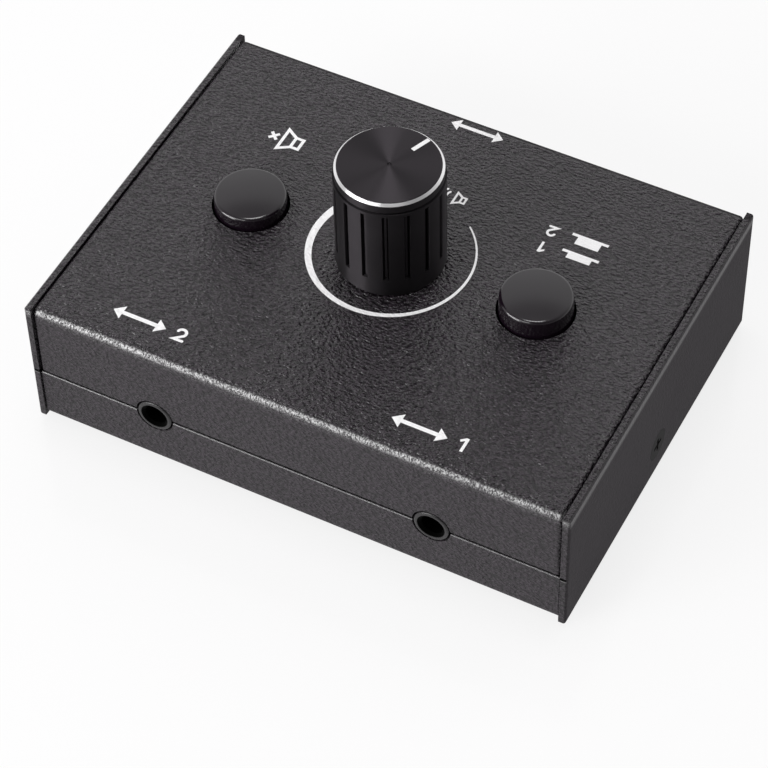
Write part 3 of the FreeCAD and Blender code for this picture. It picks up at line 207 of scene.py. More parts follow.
class PrintLooks(bpy.types.PropertyGroup):
    """The white printing on the control panel."""

    ink_colour: FloatVectorProperty(
        name="Ink colour", description="Colour of the screen-printed ink",
        default=(0.94, 0.93, 0.94), size=3, min=0, max=1, subtype="COLOR")
    ink_thickness: FloatProperty(
        name="Ink thickness", description="Height of the ink over the panel",
        default=0.02 * MM, min=0.005 * MM, max=0.2 * MM, subtype="DISTANCE", unit="LENGTH")
    pen_width: FloatProperty(
        name="Pen width", description="Width of the lines of the signs",
        default=0.5 * MM, min=0.1 * MM, max=2 * MM, subtype="DISTANCE", unit="LENGTH")
    scale_radius: FloatProperty(
        name="Scale radius", description="Outer radius of the volume scale round the knob",
        default=13.1 * MM, min=9 * MM, max=16 * MM, subtype="DISTANCE", unit="LENGTH")
    scale_width: FloatProperty(
        name="Scale width", description="Width of the volume scale at its loud end",
        default=1.45 * MM, min=0.2 * MM, max=3 * MM, subtype="DISTANCE", unit="LENGTH")
    scale_shift: FloatVectorProperty(
        name="Scale shift", description="How far the volume scale is printed off the knob's axis",
        default=(-0.35 * MM, 0.65 * MM), size=2, subtype="XYZ", unit="LENGTH")
    scale_steps: IntProperty(
        name="Scale steps", description="Straight pieces that the volume scale's edge is made of",
        default=120, min=12, max=400)


class StageLooks(bpy.types.PropertyGroup):
    """The floor, the lamps and the camera."""

    floor_colour: FloatVectorProperty(
        name="Floor colour", description="Colour of the studio floor",
        default=(0.95, 0.94, 0.95), size=3, min=0, max=1, subtype="COLOR")
    floor_help: FloatProperty(
        name="Floor help", description="Share of plain white in the floor as seen and reflected",
        default=0.80, min=0, max=1, subtype="FACTOR")
    key_power: FloatProperty(
        name="Key power", description="Power of the soft lamp over the object",
        default=1.3, min=0, max=100, unit="POWER")
    horizon_strength: FloatProperty(
        name="Horizon strength", description="Brightness of the sky at the horizon",
        default=1.0, min=0, max=5)
    zenith_strength: FloatProperty(
        name="Zenith strength", description="Brightness of the sky overhead",
        default=0.42, min=0, max=5)
    front_power: FloatProperty(
        name="Front power", description="Power of the wide softbox before the object",
        default=4.6, min=0, max=100, unit="POWER")
    side_power: FloatProperty(
        name="Side power", description="Power of the softbox low on the left",
        default=7.4, min=0, max=100, unit="POWER")
    glow_strength: FloatProperty(
        name="Glow strength", description="Brightness of the soft patch of sky behind the object",
        default=0.42, min=0, max=5)
    lens: FloatProperty(
        name="Lens", description="Focal length on a 36 mm wide sensor, in millimetres",
        default=143.52, min=20, max=400)
    azimuth: FloatProperty(
        name="Azimuth", description="Camera's turn round the object from its front",
        default=math.radians(28.446), subtype="ANGLE", unit="ROTATION")
    elevation: FloatProperty(
        name="Elevation", description="Camera's angle above the horizon",
        default=math.radians(49.979), subtype="ANGLE", unit="ROTATION")
    roll: FloatProperty(
        name="Roll", description="Camera's turn about its own line of sight",
        default=math.radians(-1.4526), subtype="ANGLE", unit="ROTATION")
    camera_place: FloatVectorProperty(
        name="Camera place", description="Where the camera stands",
        default=(0.146553, -0.274234, 0.366907), size=3, subtype="XYZ", unit="LENGTH")


# ---------------------------------------------------------------- shader maths as expressions


class Value:
    """A shader socket. Sums, products and powers of it add Math nodes."""

    def __init__(self, finish, socket):
        self.finish = finish
        self.socket = socket

    def __add__(self, other):
        return self.finish.maths("ADD", self, other)

    def __sub__(self, other):
        return self.finish.maths("SUBTRACT", self, other)

    def __rsub__(self, other):
        return self.finish.maths("SUBTRACT", other, self)

    def __mul__(self, other):
        return self.finish.maths("MULTIPLY", self, other)

    def __truediv__(self, other):
        return self.finish.maths("DIVIDE", self, other)

    def __pow__(self, other):
        return self.finish.maths("POWER", self, other)

    def __abs__(self):
        return self.finish.maths("ABSOLUTE", self)

    __radd__ = __add__
    __rmul__ = __mul__


class Nodes:
    """The nodes of a material or of the sky."""

    def __init__(self, tree):
        self.tree = tree

    def feed(self, socket, value):
        """Link a value to a socket, or set the socket to a plain number or colour."""
        if isinstance(value, Value):
            self.tree.links.new(value.socket, socket)
        else:
            socket.default_value = value

    def add(self, kind, settings=None, inputs=None, output=0):
        """Any node: its settings first, then the values or links of its sockets."""
        node = self.tree.nodes.new("ShaderNode" + kind)
        for name, value in (settings or {}).items():
            setattr(node, name, value)
        for name, value in (inputs or {}).items():
            self.feed(node.inputs[name], value)
        return Value(self, node.outputs[output])

    def maths(self, operation, *values):
        """One Math node."""
        return self.add("Math", {"operation": operation}, dict(enumerate(values)))

    def place(self):
        """The point on the surface, in the object's own frame."""
        return self.add("TexCoord", output="Object")

    def place_of_sky(self):
        """The direction in which the sky is seen."""
        return self.add("TexCoord", output="Generated")

    def parts(self, vector):
        """The three coordinates of a vector."""
        split = self.add("SeparateXYZ", inputs={0: vector})
        outputs = split.socket.node.outputs
        return [Value(self, outputs[axis]) for axis in range(3)]

    def stretch(self, vector, scale):
        """A vector with each axis scaled."""
        return self.add("VectorMath", {"operation": "MULTIPLY"}, {0: vector, 1: scale})

    def shift(self, vector, offset):
        """A vector moved by another."""
        return self.add("VectorMath", {"operation": "ADD"}, {0: vector, 1: offset})

    def noise(self, vector, size, detail=2.0, output="Fac"):
        """Soft noise whose lumps are about size across."""
        inputs = {"Vector": vector, "Scale": 1 / size, "Detail": detail}
        return self.add("TexNoise", inputs=inputs, output=output)

    def cells(self, vector, size, feature="F1", smoothness=None):
        """Distance from the middles of Voronoi cells about size across."""
        inputs = {"Vector": vector, "Scale": 1 / size}
        if smoothness is not None:
            inputs["Smoothness"] = smoothness
        return self.add("TexVoronoi", {"feature": feature}, inputs, "Distance")

    def step(self, value, low, high):
        """0 below low and 1 above high, smooth between."""
        inputs = {"Value": value, "From Min": low, "From Max": high}
        return self.add("MapRange", {"interpolation_type": "SMOOTHSTEP"}, inputs)

    def seen_or_mirrored(self):
        """1 for a ray from the camera, off a glossy surface or through a clear one, and else 0."""
        rays = self.add("LightPath").socket.node.outputs
        camera, glossy, clear = [Value(self, rays[f"Is {kind} Ray"])
                                 for kind in ("Camera", "Glossy", "Transmission")]
        return self.maths("MAXIMUM", camera, self.maths("MAXIMUM", glossy, clear))

    def blend(self, factor, first, second):
        """The first colour where the factor is 0 and the second where it is 1."""
        settings = {"data_type": "RGBA", "clamp_factor": True}
        node = self.add("Mix", settings).socket.node
        self.feed(node.inputs["Factor"], factor)
        colours = [socket for socket in node.inputs if socket.type == "RGBA"]
        for socket, colour in zip(colours, (first, second)):
            self.feed(socket, colour if isinstance(colour, Value) else opaque(colour))
        return Value(self, next(out for out in node.outputs if out.type == "RGBA"))

    def bump(self, height, distance, strength=1.0, below=None):
        """A surface normal roughened by a height between 0 and 1."""
        inputs = {"Height": height, "Distance": distance, "Strength": strength}
        if below is not None:
            inputs["Normal"] = below
        return self.add("Bump", inputs=inputs)


class Finish(Nodes):
    """A material being mixed: one Principled shader and the nodes that vary it."""

    def __init__(self, name, constants=None):
        self.material = bpy.data.materials.new(name)
        self.material.use_nodes = True
        super().__init__(self.material.node_tree)
        self.shader = self.tree.nodes["Principled BSDF"]
        for socket, value in (constants or {}).items():
            self.shader.inputs[socket].default_value = value

    def paint(self, **sockets):
        """Feed the shader's sockets, named in lower case with underscores, and hand over."""
        for name, value in sockets.items():
            socket = self.shader.inputs[name.replace("_", " ").title()]
            is_colour = socket.type == "RGBA" and not isinstance(value, Value)
            self.feed(socket, opaque(value) if is_colour else value)
        return self.material


def opaque(colour):
    """A colour with its alpha."""
    return (*tuple(colour)[:3], 1.0)


def shade(colour, factor):
    """A lighter or darker colour."""
    return tuple(min(1.0, channel * factor) for channel in tuple(colour)[:3])


def dress(nodes, material):
    """Give CAD nodes a material."""
    for name in nodes:
        for place in frame["nodes"][name].material_slots:
            place.material = material


# ---------------------------------------------------------------- materials


def coat_relief(finish, looks):
    """Height of the powder coat's leathery grain, drawn out along X, between 0 and about 1."""
    place = finish.stretch(finish.place(), (0.62, 1, 1))
    drift = finish.noise(place, looks.grain_size * 3, 1.0, "Color")
    bent = finish.shift(place, finish.stretch(drift, (looks.grain_size * 0.9,) * 3))
    pebbles = finish.cells(bent, looks.grain_size, "SMOOTH_F1", smoothness=0.25)
    wrinkles = finish.noise(bent, looks.grain_size * 0.7, 1.0)
    return (1 - pebbles) * 0.55 + wrinkles * 0.65


def coat_grain(finish, looks, relief, share=1.0):
    """The powder coat's grain as a normal, stronger in some clouds than in others."""
    swell = finish.noise(finish.place(), looks.grain_size * 14, 1.0)
    return finish.bump(relief * ((0.75 + swell * 0.5) * share), looks.grain_depth)


def near_face(finish, coordinate, face, band):
    """1 on a flat face and inside it up to the band's start, 0 beyond its end, smooth between."""
    start, end = band
    return finish.step(coordinate, face - end, face - start)


def mix_powder_coat(looks):
    """Charcoal powder coat with a fine leathery grain, polished on the front bend and the rim, with
    painted shade in creases, on the sides, the rear bend and the seam.
    """
    coat = Finish("powder_coat", {"IOR": 1.45, "Coat Roughness": 0.42, "Coat IOR": 2.7})
    place = coat.place()
    relief = coat_relief(coat, looks)
    x, y, z = coat.parts(place)

    beside = near_face(coat, abs(x), CASE_HIGH.x, SIDE_MARGIN)
    along = 1 - beside
    below = 1 - near_face(coat, z, PANEL_TOP, WALL_DEPTH)
    back = near_face(coat, y, WALL_FACE, BACK_MARGIN) * along
    back = back * near_face(coat, z, PANEL_TOP, BACK_DEPTH)
    bend = near_face(coat, z, PANEL_TOP, BEND_FOOT_DEPTH) * along
    bend = bend * (1 - near_face(coat, z, PANEL_TOP, BEND_HEAD_DEPTH))
    bend = bend * near_face(coat, y * -1, WALL_FACE, BEND_MARGIN)
    rim = (1 - coat.step(abs(z - SEAM_RIM), *SEAM_RIM_HALF)) * along
    seam_shade = (1 - coat.step(abs(z - SEAM_SHADE), *SEAM_SHADE_HALF)) * along

    cloud = coat.noise(place, 18 * MM, 2.0)
    tone = coat.blend(cloud, shade(looks.coat_colour, 1.25), shade(looks.coat_colour, 1.5))
    # Painted shade in the creases between the grain's pebbles.
    crease_shade = 1 - coat.step(relief, 0.45, 0.75)
    # Painted shade: the creases, the side plates and the rear bend are darkened towards a quarter
    # of the coat's colour.
    painted_shade = crease_shade * (0.85 - beside * 0.75) + (beside + back) * 0.3 + 0.03
    colour = coat.blend(painted_shade, tone, shade(looks.coat_colour, 0.25))
    # Painted shadow: the seam's gap over the tray's rim is painted black and made metallic, so it
    # shows no gloss.
    colour = coat.blend(seam_shade, colour, (0, 0, 0))

    roughness = looks.coat_roughness + (cloud - 0.5) * 0.06
    roughness = roughness + below * (looks.face_roughness - looks.coat_roughness)
    roughness = roughness + beside * (looks.side_roughness - looks.face_roughness)
    roughness = roughness * (1 - rim * 0.6) * (1 - bend * 0.4) + back * 0.6

    scuffs = coat.noise(coat.stretch(place, (1, 0.6, 0.6)), 0.20 * MM, 2.0)
    worn = coat.step(scuffs, 0.40, 0.62)
    polish = coat.maths("MAXIMUM", bend * (0.12 + worn * 0.88), rim * 0.34)
    share = (1 - beside * 0.8) * (1 - rim * 0.8) * (1 + bend * 0.5)
    return coat.paint(base_color=colour, metallic=seam_shade, roughness=roughness,
                      coat_weight=polish, normal=coat_grain(coat, looks, relief, share))


def mix_ink(looks, case):
    """Screen-printed white ink that follows the coat's grain."""
    ink = Finish("panel_ink", {"IOR": 1.45})
    place = ink.place()
    thin = ink.step(ink.noise(place, 0.3 * MM, 2.0), 0.66, 0.8)
    colour = ink.blend(thin, looks.ink_colour, shade(looks.ink_colour, 0.9))
    return ink.paint(base_color=colour, roughness=0.45 + thin * 0.15,
                     normal=coat_grain(ink, case, coat_relief(ink, case), 0.3))


def knob_radius_of(finish, place):
    """Distance from the knob's axis, and height, of the point on the surface."""
    x, y, z = finish.parts(place)
    across = x - KNOB_CENTRE.x
    along = y - KNOB_CENTRE.y
    return (across * across + along * along) ** 0.5, z


def mix_knob_metal(looks):
    """Black anodised aluminium with lathe lines on the top and a bright cut bevel."""
    metal = Finish("knob_aluminium", {"Anisotropic": 0.95, "Anisotropic Rotation": 0.25,
                                      "Metallic": 1.0})
    place = metal.place()
    radius, height = knob_radius_of(metal, place)
    blur = 0.02 * MM
    top_edge = KNOB_HIGH.z - looks.bevel_width
    disc_edge = KNOB_RADIUS - 0.15 * MM - looks.bevel_width
    high_up = metal.step(height, top_edge - 2 * blur, top_edge - blur)
    outside = metal.step(radius, disc_edge - blur, disc_edge)
    bright = high_up * outside
    on_top = high_up * (1 - outside)
    lines = metal.maths("SINE", radius * (2 * math.pi / looks.turning_pitch)) * 0.5 + 0.5
    lathe = metal.noise(metal.stretch(place, (0.02, 0.02, 1)), 0.09 * MM, 1.0)
    smudge = metal.noise(place, 4 * MM, 2.0)
    body = metal.blend(smudge, shade(looks.anodised_colour, 0.85),
                       shade(looks.anodised_colour, 1.2))
    disc = metal.blend(lines, shade(looks.disc_colour, 0.8), shade(looks.disc_colour, 1.2))
    colour = metal.blend(bright, metal.blend(on_top, body, disc), looks.bright_colour)
    roughness = 0.44 + smudge * 0.04 - on_top * 0.06 - bright * 0.12
    relief = metal.bump(lines * on_top, 0.002 * MM, 1.0)
    relief = metal.bump(lathe * (1 - high_up), 0.004 * MM, 1.0, relief)
    return metal.paint(base_color=colour, roughness=roughness, normal=relief)


def mix_gloss_plastic(name, colour, roughness, scratch=0.02):
    """Moulded gloss plastic with faint handling marks."""
    plastic = Finish(name, {"IOR": 1.63})
    place = plastic.place()
    haze = plastic.noise(place, 3 * MM, 3.0)
    hair = plastic.noise(plastic.stretch(place, (1, 6, 1)), 0.5 * MM, 3.0)
    tone = plastic.blend(haze, shade(colour, 0.9), shade(colour, 1.15))
    gloss = roughness + (haze - 0.5) * 0.05 + plastic.step(hair, 0.6, 0.8) * scratch
    orange_peel = plastic.bump(plastic.noise(place, 0.9 * MM, 1.0), 0.004 * MM, 0.5)
    return plastic.paint(base_color=tone, roughness=gloss, normal=orange_peel)


def mix_matt_plastic(name, colour, roughness=0.5, texture=0.25 * MM):
    """Moulded plastic with a spark-eroded texture."""
    plastic = Finish(name, {"IOR": 1.46})
    place = plastic.place()
    spark = plastic.noise(place, texture, 3.0)
    cloud = plastic.noise(place, 5 * MM, 2.0)
    tone = plastic.blend(cloud, shade(colour, 0.88), shade(colour, 1.12))
    return plastic.paint(base_color=tone, roughness=roughness + (spark - 0.5) * 0.15,
                         normal=plastic.bump(spark, texture * 0.08, 0.8))


def mix_metal(name, colour, roughness, brushing=(1, 1, 0.1), size=0.2 * MM):
    """Plated or bare metal with drawn or brushed lines."""
    metal = Finish(name, {"Metallic": 1.0})
    place = metal.place()
    lines = metal.noise(metal.stretch(place, brushing), size, 3.0)
    stain = metal.noise(place, 2.5 * MM, 3.0)
    tone = metal.blend(stain, shade(colour, 0.85), shade(colour, 1.05))
    return metal.paint(base_color=tone, roughness=roughness + (lines - 0.5) * 0.2,
                       normal=metal.bump(lines, size * 0.03, 0.6))


def mix_rubber():
    """Matt black foot rubber."""
    rubber = Finish("foot_rubber", {"IOR": 1.5})
    place = rubber.place()
    pores = rubber.cells(place, 0.35 * MM)
    dust = rubber.noise(place, 1.5 * MM, 3.0)
    tone = rubber.blend(rubber.step(dust, 0.5, 0.8), (0.018, 0.018, 0.018), (0.05, 0.048, 0.045))
    return rubber.paint(base_color=tone, roughness=0.75 + dust * 0.15,
                        normal=rubber.bump(pores, 0.02 * MM, 0.6))


def mix_board():
    """Green solder mask over copper tracks on a glass-fibre board."""
    board = Finish("board_laminate", {"IOR": 1.5})
    place = board.place()
    x, y, _ = board.parts(place)
    bends = board.noise(place, 22 * MM, 0.0)
    lanes = board.maths("PINGPONG", x + (bends - 0.5) * (14 * MM), 1.1 * MM) / (1.1 * MM)
    crossings = board.maths("PINGPONG", y + (bends - 0.5) * (10 * MM), 2.3 * MM) / (2.3 * MM)
    tracks = board.step(lanes, 0.62, 0.7) * board.step(crossings, 0.18, 0.26)
    weave = board.noise(place, 0.4 * MM, 1.0)
    tone = board.blend(tracks, (0.012, 0.075, 0.030), (0.020, 0.135, 0.055))
    return board.paint(base_color=tone, roughness=0.28 + weave * 0.12,
                       normal=board.bump(tracks + weave * 0.15, 0.03 * MM, 0.8))


def mix_floor(looks):
    """A pale studio floor that takes the object's shadow and a faint reflection."""
    floor = Finish("studio_floor", {"IOR": 1.8, "Roughness": 0.15})
    mottle = floor.noise(floor.place(), 300 * MM, 1.0)
    tone = floor.blend(mottle, shade(looks.floor_colour, 0.99), shade(looks.floor_colour, 1.01))
    plain = floor.add("Emission", inputs={"Color": (1, 1, 1, 1), "Strength": 1.0})
    help_share = floor.seen_or_mirrored() * looks.floor_help
    shader = Value(floor, floor.shader.outputs[0])
    mixed = floor.add("MixShader", inputs={0: help_share, 1: shader, 2: plain})
    floor.feed(floor.tree.nodes["Material Output"].inputs["Surface"], mixed)
    return floor.paint(base_color=tone)


def mix_socket_plastic():
    """Black moulded plastic, with painted shade, near black and dull, inside each socket's mouth.
    """
    plastic = Finish("jack_plastic", {"IOR": 1.45})
    place = plastic.place()
    x, _, z = plastic.parts(place)
    nearest = 1.0
    for name in SOCKETS:
        middle = centre_of(f"{name}_housing")
        across = x - middle.x
        rise = z - SOCKET_AXIS
        distance = (across * across + rise * rise) ** 0.5
        nearest = plastic.maths("MINIMUM", distance, nearest)
    # Painted shade: each socket's mouth is painted near black, metallic and dull.
    mouth = 1 - plastic.step(nearest, *MOUTH_SHADE_RADIUS)
    haze = plastic.noise(place, 1.5 * MM, 2.0)
    colour = plastic.blend(mouth, (0.012, 0.0108, 0.012), (0.002, 0.002, 0.002))
    return plastic.paint(base_color=colour, metallic=mouth,
                         roughness=0.3 + haze * 0.1 + mouth * 0.45,
                         normal=plastic.bump(haze, 0.01 * MM, 0.5))


# ---------------------------------------------------------------- outlines of the panel's printing


def turned(points, angle, centre):
    """Points turned about the origin and then moved to a centre."""
    cosine, sine = math.cos(angle), math.sin(angle)
    return [(centre[0] + x * cosine - y * sine, centre[1] + x * sine + y * cosine)
            for x, y in points]


def arc(centre, radius, start, end, steps):
    """Points along a circle's arc, with its angles in radians."""
    angles = [start + (end - start) * step / steps for step in range(steps + 1)]
    return [(centre[0] + radius * math.cos(angle), centre[1] + radius * math.sin(angle))
            for angle in angles]


def side_of_line(points, offset, closed):
    """The line moved sideways by an offset, with mitred corners."""
    moved = []
    count = len(points)
    for index, point in enumerate(points):
        before = points[index - 1] if index or closed else None
        after = points[(index + 1) % count] if index < count - 1 or closed else None
        here = Vector(point)
        arrive = (here - Vector(before)).normalized() if before else None
        leave = (Vector(after) - here).normalized() if after else None
        arrive = arrive or leave
        leave = leave or arrive
        across = Vector((-(arrive.y + leave.y), arrive.x + leave.x)).normalized()
        reach = offset / max(SHARPEST_MITRE, across.dot(Vector((-arrive.y, arrive.x))))
        moved.append(tuple(here + across * reach))
    return moved


def pen_line(points, width):
    """The outline of an open line drawn with a round pen."""
    half = width / 2
    left = side_of_line(points, half, False)
    right = side_of_line(points, -half, False)
    start, second = Vector(points[0]), Vector(points[1])
    end, last = Vector(points[-1]), Vector(points[-2])
    start_angle = math.atan2(*(start - second).yx)
    end_angle = math.atan2(*(end - last).yx)
    steps = 6
    start_cap = arc(points[0], half, start_angle - math.pi / 2, start_angle + math.pi / 2, steps)
    end_cap = arc(points[-1], half, end_angle - math.pi / 2, end_angle + math.pi / 2, steps)
    return [right[1:-1] + end_cap + left[-2:0:-1] + start_cap]


def volume_wedge(looks):
    """The volume scale: an arc that widens from the quiet end to the loud end."""
    steps = looks.scale_steps
    centre = (KNOB_CENTRE.x + looks.scale_shift[0], KNOB_CENTRE.y + looks.scale_shift[1])
    outer = arc(centre, looks.scale_radius, SCALE_QUIET, SCALE_LOUD, steps)
    inner = []
    for step in range(steps + 1):
        share = step / steps
        angle = SCALE_QUIET + (SCALE_LOUD - SCALE_QUIET) * share
        width = looks.scale_width * (0.18 + 0.82 * share ** 1.2)
        radius = looks.scale_radius - width
        inner.append((centre[0] + radius * math.cos(angle), centre[1] + radius * math.sin(angle)))
    return [outer + inner[::-1]]


def two_way_arrow(length, height, bar):
    """A double-headed arrow along X, centred on the origin."""
    tip, neck, half, thin = length / 2, length / 2 - height * 0.62, height / 2, bar / 2
    quarter = [(neck, thin), (neck, half), (tip, 0), (neck, -half), (neck, -thin)]
    return quarter + [(-x, -y) for x, y in quarter]


def digit_one(height):
    """The outline of a plain 1, standing on the origin."""
    bar, flag = height * 0.18, height * 0.30
    return [(0, 0), (bar, 0), (bar, height), (0, height), (-flag, height * 0.76),
            (-flag * 0.8, height * 0.62), (0, height * 0.78)]


def digit_two(height, width):
    """The outline of a plain 2, standing on the origin, drawn with one line."""
    bowl = height * 0.27
    top = (0, height - bowl - width / 2)
    curve = arc(top, bowl, math.radians(165), math.radians(-35), 14)
    foot = [(-bowl * 0.95, width / 2), (bowl * 1.15, width / 2)]
    return pen_line(curve + foot, width)


def loudspeaker(size, width):
    """A loudspeaker sign facing +X: its box and its cone, as outlines with open middles."""
    box, cone, wide, throat = size * 0.30, size * 0.42, size * 0.50, size * 0.24
    body = [(-box, -throat), (0, -throat), (0, throat), (-box, throat)]
    horn = [(0, -throat), (cone, -wide), (cone, wide), (0, throat)]
    silhouette = [(-box, -throat), (0, -throat), (cone, -wide), (cone, wide), (0, throat),
                  (-box, throat)]
    outer = side_of_line(silhouette, -width / 2, True)
    holes = [side_of_line(body, width / 2, True), side_of_line(horn, width / 2, True)]
    return [outer, *holes]


def cross_mark(centre, reach, width):
    """A diagonal cross as one outline."""
    half = width / 2
    arm = [(half, half), (reach, half), (reach, -half), (half, -half)]
    points = []
    for quarter in range(4):
        points += turned(arm, math.radians(45 - 90 * quarter), (0, 0))[:3]
        points += turned([arm[3]], math.radians(45 - 90 * quarter), (0, 0))
    return [(centre[0] + x, centre[1] + y) for x, y in points]


def pressed_key(bar_length, block_length, block_height, bar_height):
    """The sign of a push button: a bar with the button's block on it."""
    end, side = bar_length / 2, block_length / 2
    return [(-end, 0), (end, 0), (end, bar_height), (side, bar_height),
            (side, bar_height + block_height), (-side, bar_height + block_height),
            (-side, bar_height), (-end, bar_height)]


def print_sign(name, outlines, ink, looks):
    """Lay outlines on the control panel as a thin film of ink."""
    line = bpy.data.curves.new(name, "CURVE")
    line.dimensions = "2D"
    line.fill_mode = "BOTH"
    line.extrude = looks.ink_thickness / 2
    for outline in outlines:
        spline = line.splines.new("POLY")
        spline.points.add(len(outline) - 1)
        for point, (x, y) in zip(spline.points, outline):
            point.co = (x, y, 0, 1)
        spline.use_cyclic_u = True
    shape = bpy.data.objects.new(name + "_outline", line)
    bpy.context.scene.collection.objects.link(shape)
    bpy.context.view_layer.update()
    mesh = bpy.data.meshes.new_from_object(shape)
    bpy.data.objects.remove(shape)
    mesh.name = name
    mesh.transform(Matrix.Translation((0, 0, PANEL_TOP + looks.ink_thickness / 2)))
    mesh.materials.clear()
    mesh.materials.append(ink)
    piece = bpy.data.objects.new(name, mesh)
    bpy.context.scene.collection.objects.link(piece)
    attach(piece, "case")


def coil(low, high, wire, turns):
    """Points, edges and faces of a round wire wound upright inside a box, with flat ends."""
    middle = (low + high) / 2
    foot = low.z + wire
    radius, rise = (high.x - low.x) / 2 - wire, high.z - low.z - 2 * wire
    around, along = 12, 28 * turns
    points = []
    for step in range(along + 1):
        turn = 2 * math.pi * turns * step / along
        for side in range(around):
            angle = 2 * math.pi * side / around
            reach = radius + wire * math.cos(angle)
            points.append((middle.x + reach * math.cos(turn),
                           middle.y + reach * math.sin(turn),
                           foot + rise * step / along + wire * math.sin(angle)))
    last = along * around
    faces = [tuple(range(around)), tuple(range(last + around - 1, last - 1, -1))]
    for step in range(along):
        for side in range(around):
            here, beside = step * around + side, step * around + (side + 1) % around
            faces.append((here, here + around, beside + around, beside))
    return points, [], faces


# ---------------------------------------------------------------- operators


class CoatCase(bpy.types.Operator):
    """Powder-coat the top cover and the bottom tray"""

    bl_idname = "selector_switch.coat_case"
    bl_label = "Coat the case"

    def execute(self, context):
        dress(("top_cover", "bottom_tray"), mix_powder_coat(context.scene.case_looks))
        return {"FINISHED"}


class FinishFixings(bpy.types.Operator):
    """Finish the screws, the standoffs and the feet"""

    bl_idname = "selector_switch.finish_fixings"
    bl_label = "Finish screws and feet"

    def execute(self, context):
        dress(("side_screws",),
              mix_matt_plastic("black_screw", (0.004, 0.003, 0.004), 0.9, 0.3 * MM))
        dress(("board_screws", "board_standoffs"),
              mix_metal("plated_steel", (0.62, 0.62, 0.60), 0.28))
        dress(("rubber_feet",), mix_rubber())
        return {"FINISHED"}


class FinishBoard(bpy.types.Operator):
    """Finish the circuit board"""

    bl_idname = "selector_switch.finish_board"
    bl_label = "Finish the circuit board"

    def execute(self, context):
        dress(("circuit_board",), mix_board())
        return {"FINISHED"}


class FinishSockets(bpy.types.Operator):
    """Finish the three 3.5 mm sockets and their contacts"""

    bl_idname = "selector_switch.finish_sockets"
    bl_label = "Finish the sockets"

    def execute(self, context):
        dress([f"{name}_housing" for name in SOCKETS], mix_socket_plastic())
        dress([f"{name}_contacts" for name in SOCKETS],
              mix_metal("contact_metal", (0.72, 0.66, 0.52), 0.25))
        return {"FINISHED"}


class FinishVolumeControl(bpy.types.Operator):
    """Finish the rotary control under the knob"""

    bl_idname = "selector_switch.finish_volume_control"
    bl_label = "Finish the volume control"

    def execute(self, context):
        dress(("volume_pot_body",), mix_matt_plastic("pot_plastic", (0.03, 0.03, 0.032)))
        dress(("volume_pot_wafers",),
              mix_matt_plastic("wafer_laminate", (0.20, 0.11, 0.05), 0.45, 0.5 * MM))
        dress(("volume_pot_terminals",), mix_metal("terminal_metal", (0.72, 0.68, 0.58), 0.3))
        dress(("volume_pot_bushing",), mix_metal("cast_zinc", (0.55, 0.55, 0.56), 0.4, (1, 1, 1)))
        dress(("volume_pot_washer", "volume_pot_nut", "volume_pot_shaft"),
              mix_metal("turned_steel", (0.60, 0.60, 0.58), 0.3, (0.1, 0.1, 1)))
        dress(("volume_pot_wipers",), mix_matt_plastic("wiper_plastic", (0.70, 0.70, 0.66)))
        return {"FINISHED"}


class FinishKnob(bpy.types.Operator):
    """Finish the knob's metal shell, its core and its pointer"""

    bl_idname = "selector_switch.finish_knob"
    bl_label = "Finish the knob"

    def execute(self, context):
        dress(("knob_shell",), mix_knob_metal(context.scene.knob_looks))
        dress(("knob_core",), mix_matt_plastic("core_plastic", (0.03, 0.03, 0.03)))
        dress(("knob_pointer",), mix_gloss_plastic("pointer_white", (0.86, 0.85, 0.86), 0.35, 0.1))
        return {"FINISHED"}


class FinishButtons(bpy.types.Operator):
    """Finish the two push-button caps"""

    bl_idname = "selector_switch.finish_buttons"
    bl_label = "Finish the buttons"

    def execute(self, context):
        looks = context.scene.button_looks
        cap = mix_gloss_plastic("button_plastic", looks.cap_colour, looks.cap_roughness)
        dress([f"{name}_button_cap" for name in SWITCHES], cap)
        return {"FINISHED"}


class FinishSwitches(bpy.types.Operator):
    """Finish the latching switches under the buttons"""

    bl_idname = "selector_switch.finish_switches"
    bl_label = "Finish the switches"

    def execute(self, context):
        housing = mix_matt_plastic("switch_plastic", (0.04, 0.04, 0.045))
        slider = mix_matt_plastic("slider_plastic", (0.75, 0.75, 0.71), 0.4)
        contact = mix_metal("switch_contact_metal", (0.72, 0.66, 0.52), 0.28)
        steel = mix_metal("spring_steel", (0.5, 0.5, 0.5), 0.22)
        for name in SWITCHES:
            dress((f"{name}_switch_housing", f"{name}_switch_lid"), housing)
            dress((f"{name}_switch_plunger",), slider)
            dress((f"{name}_switch_bridges", f"{name}_switch_pins"), contact)
            dress((f"{name}_switch_spring", f"{name}_latch_wire"), steel)
            self.wind_spring(name, steel, context.scene.button_looks)
        return {"FINISHED"}

    def wind_spring(self, name, steel, looks):
        """A coil spring wound inside the box of the switch's spring part, which it replaces and
        hides.
        """
        node = f"{name}_switch_spring"
        low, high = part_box(node)
        mesh = bpy.data.meshes.new(f"{name}_coil_spring")
        mesh.from_pydata(*coil(low, high, looks.spring_wire, looks.spring_turns))
        mesh.materials.append(steel)
        for face in mesh.polygons:
            face.use_smooth = len(face.vertices) == 4
        spring = bpy.data.objects.new(f"{name}_coil_spring", mesh)
        bpy.context.scene.collection.objects.link(spring)
        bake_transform(spring)
        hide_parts(node)


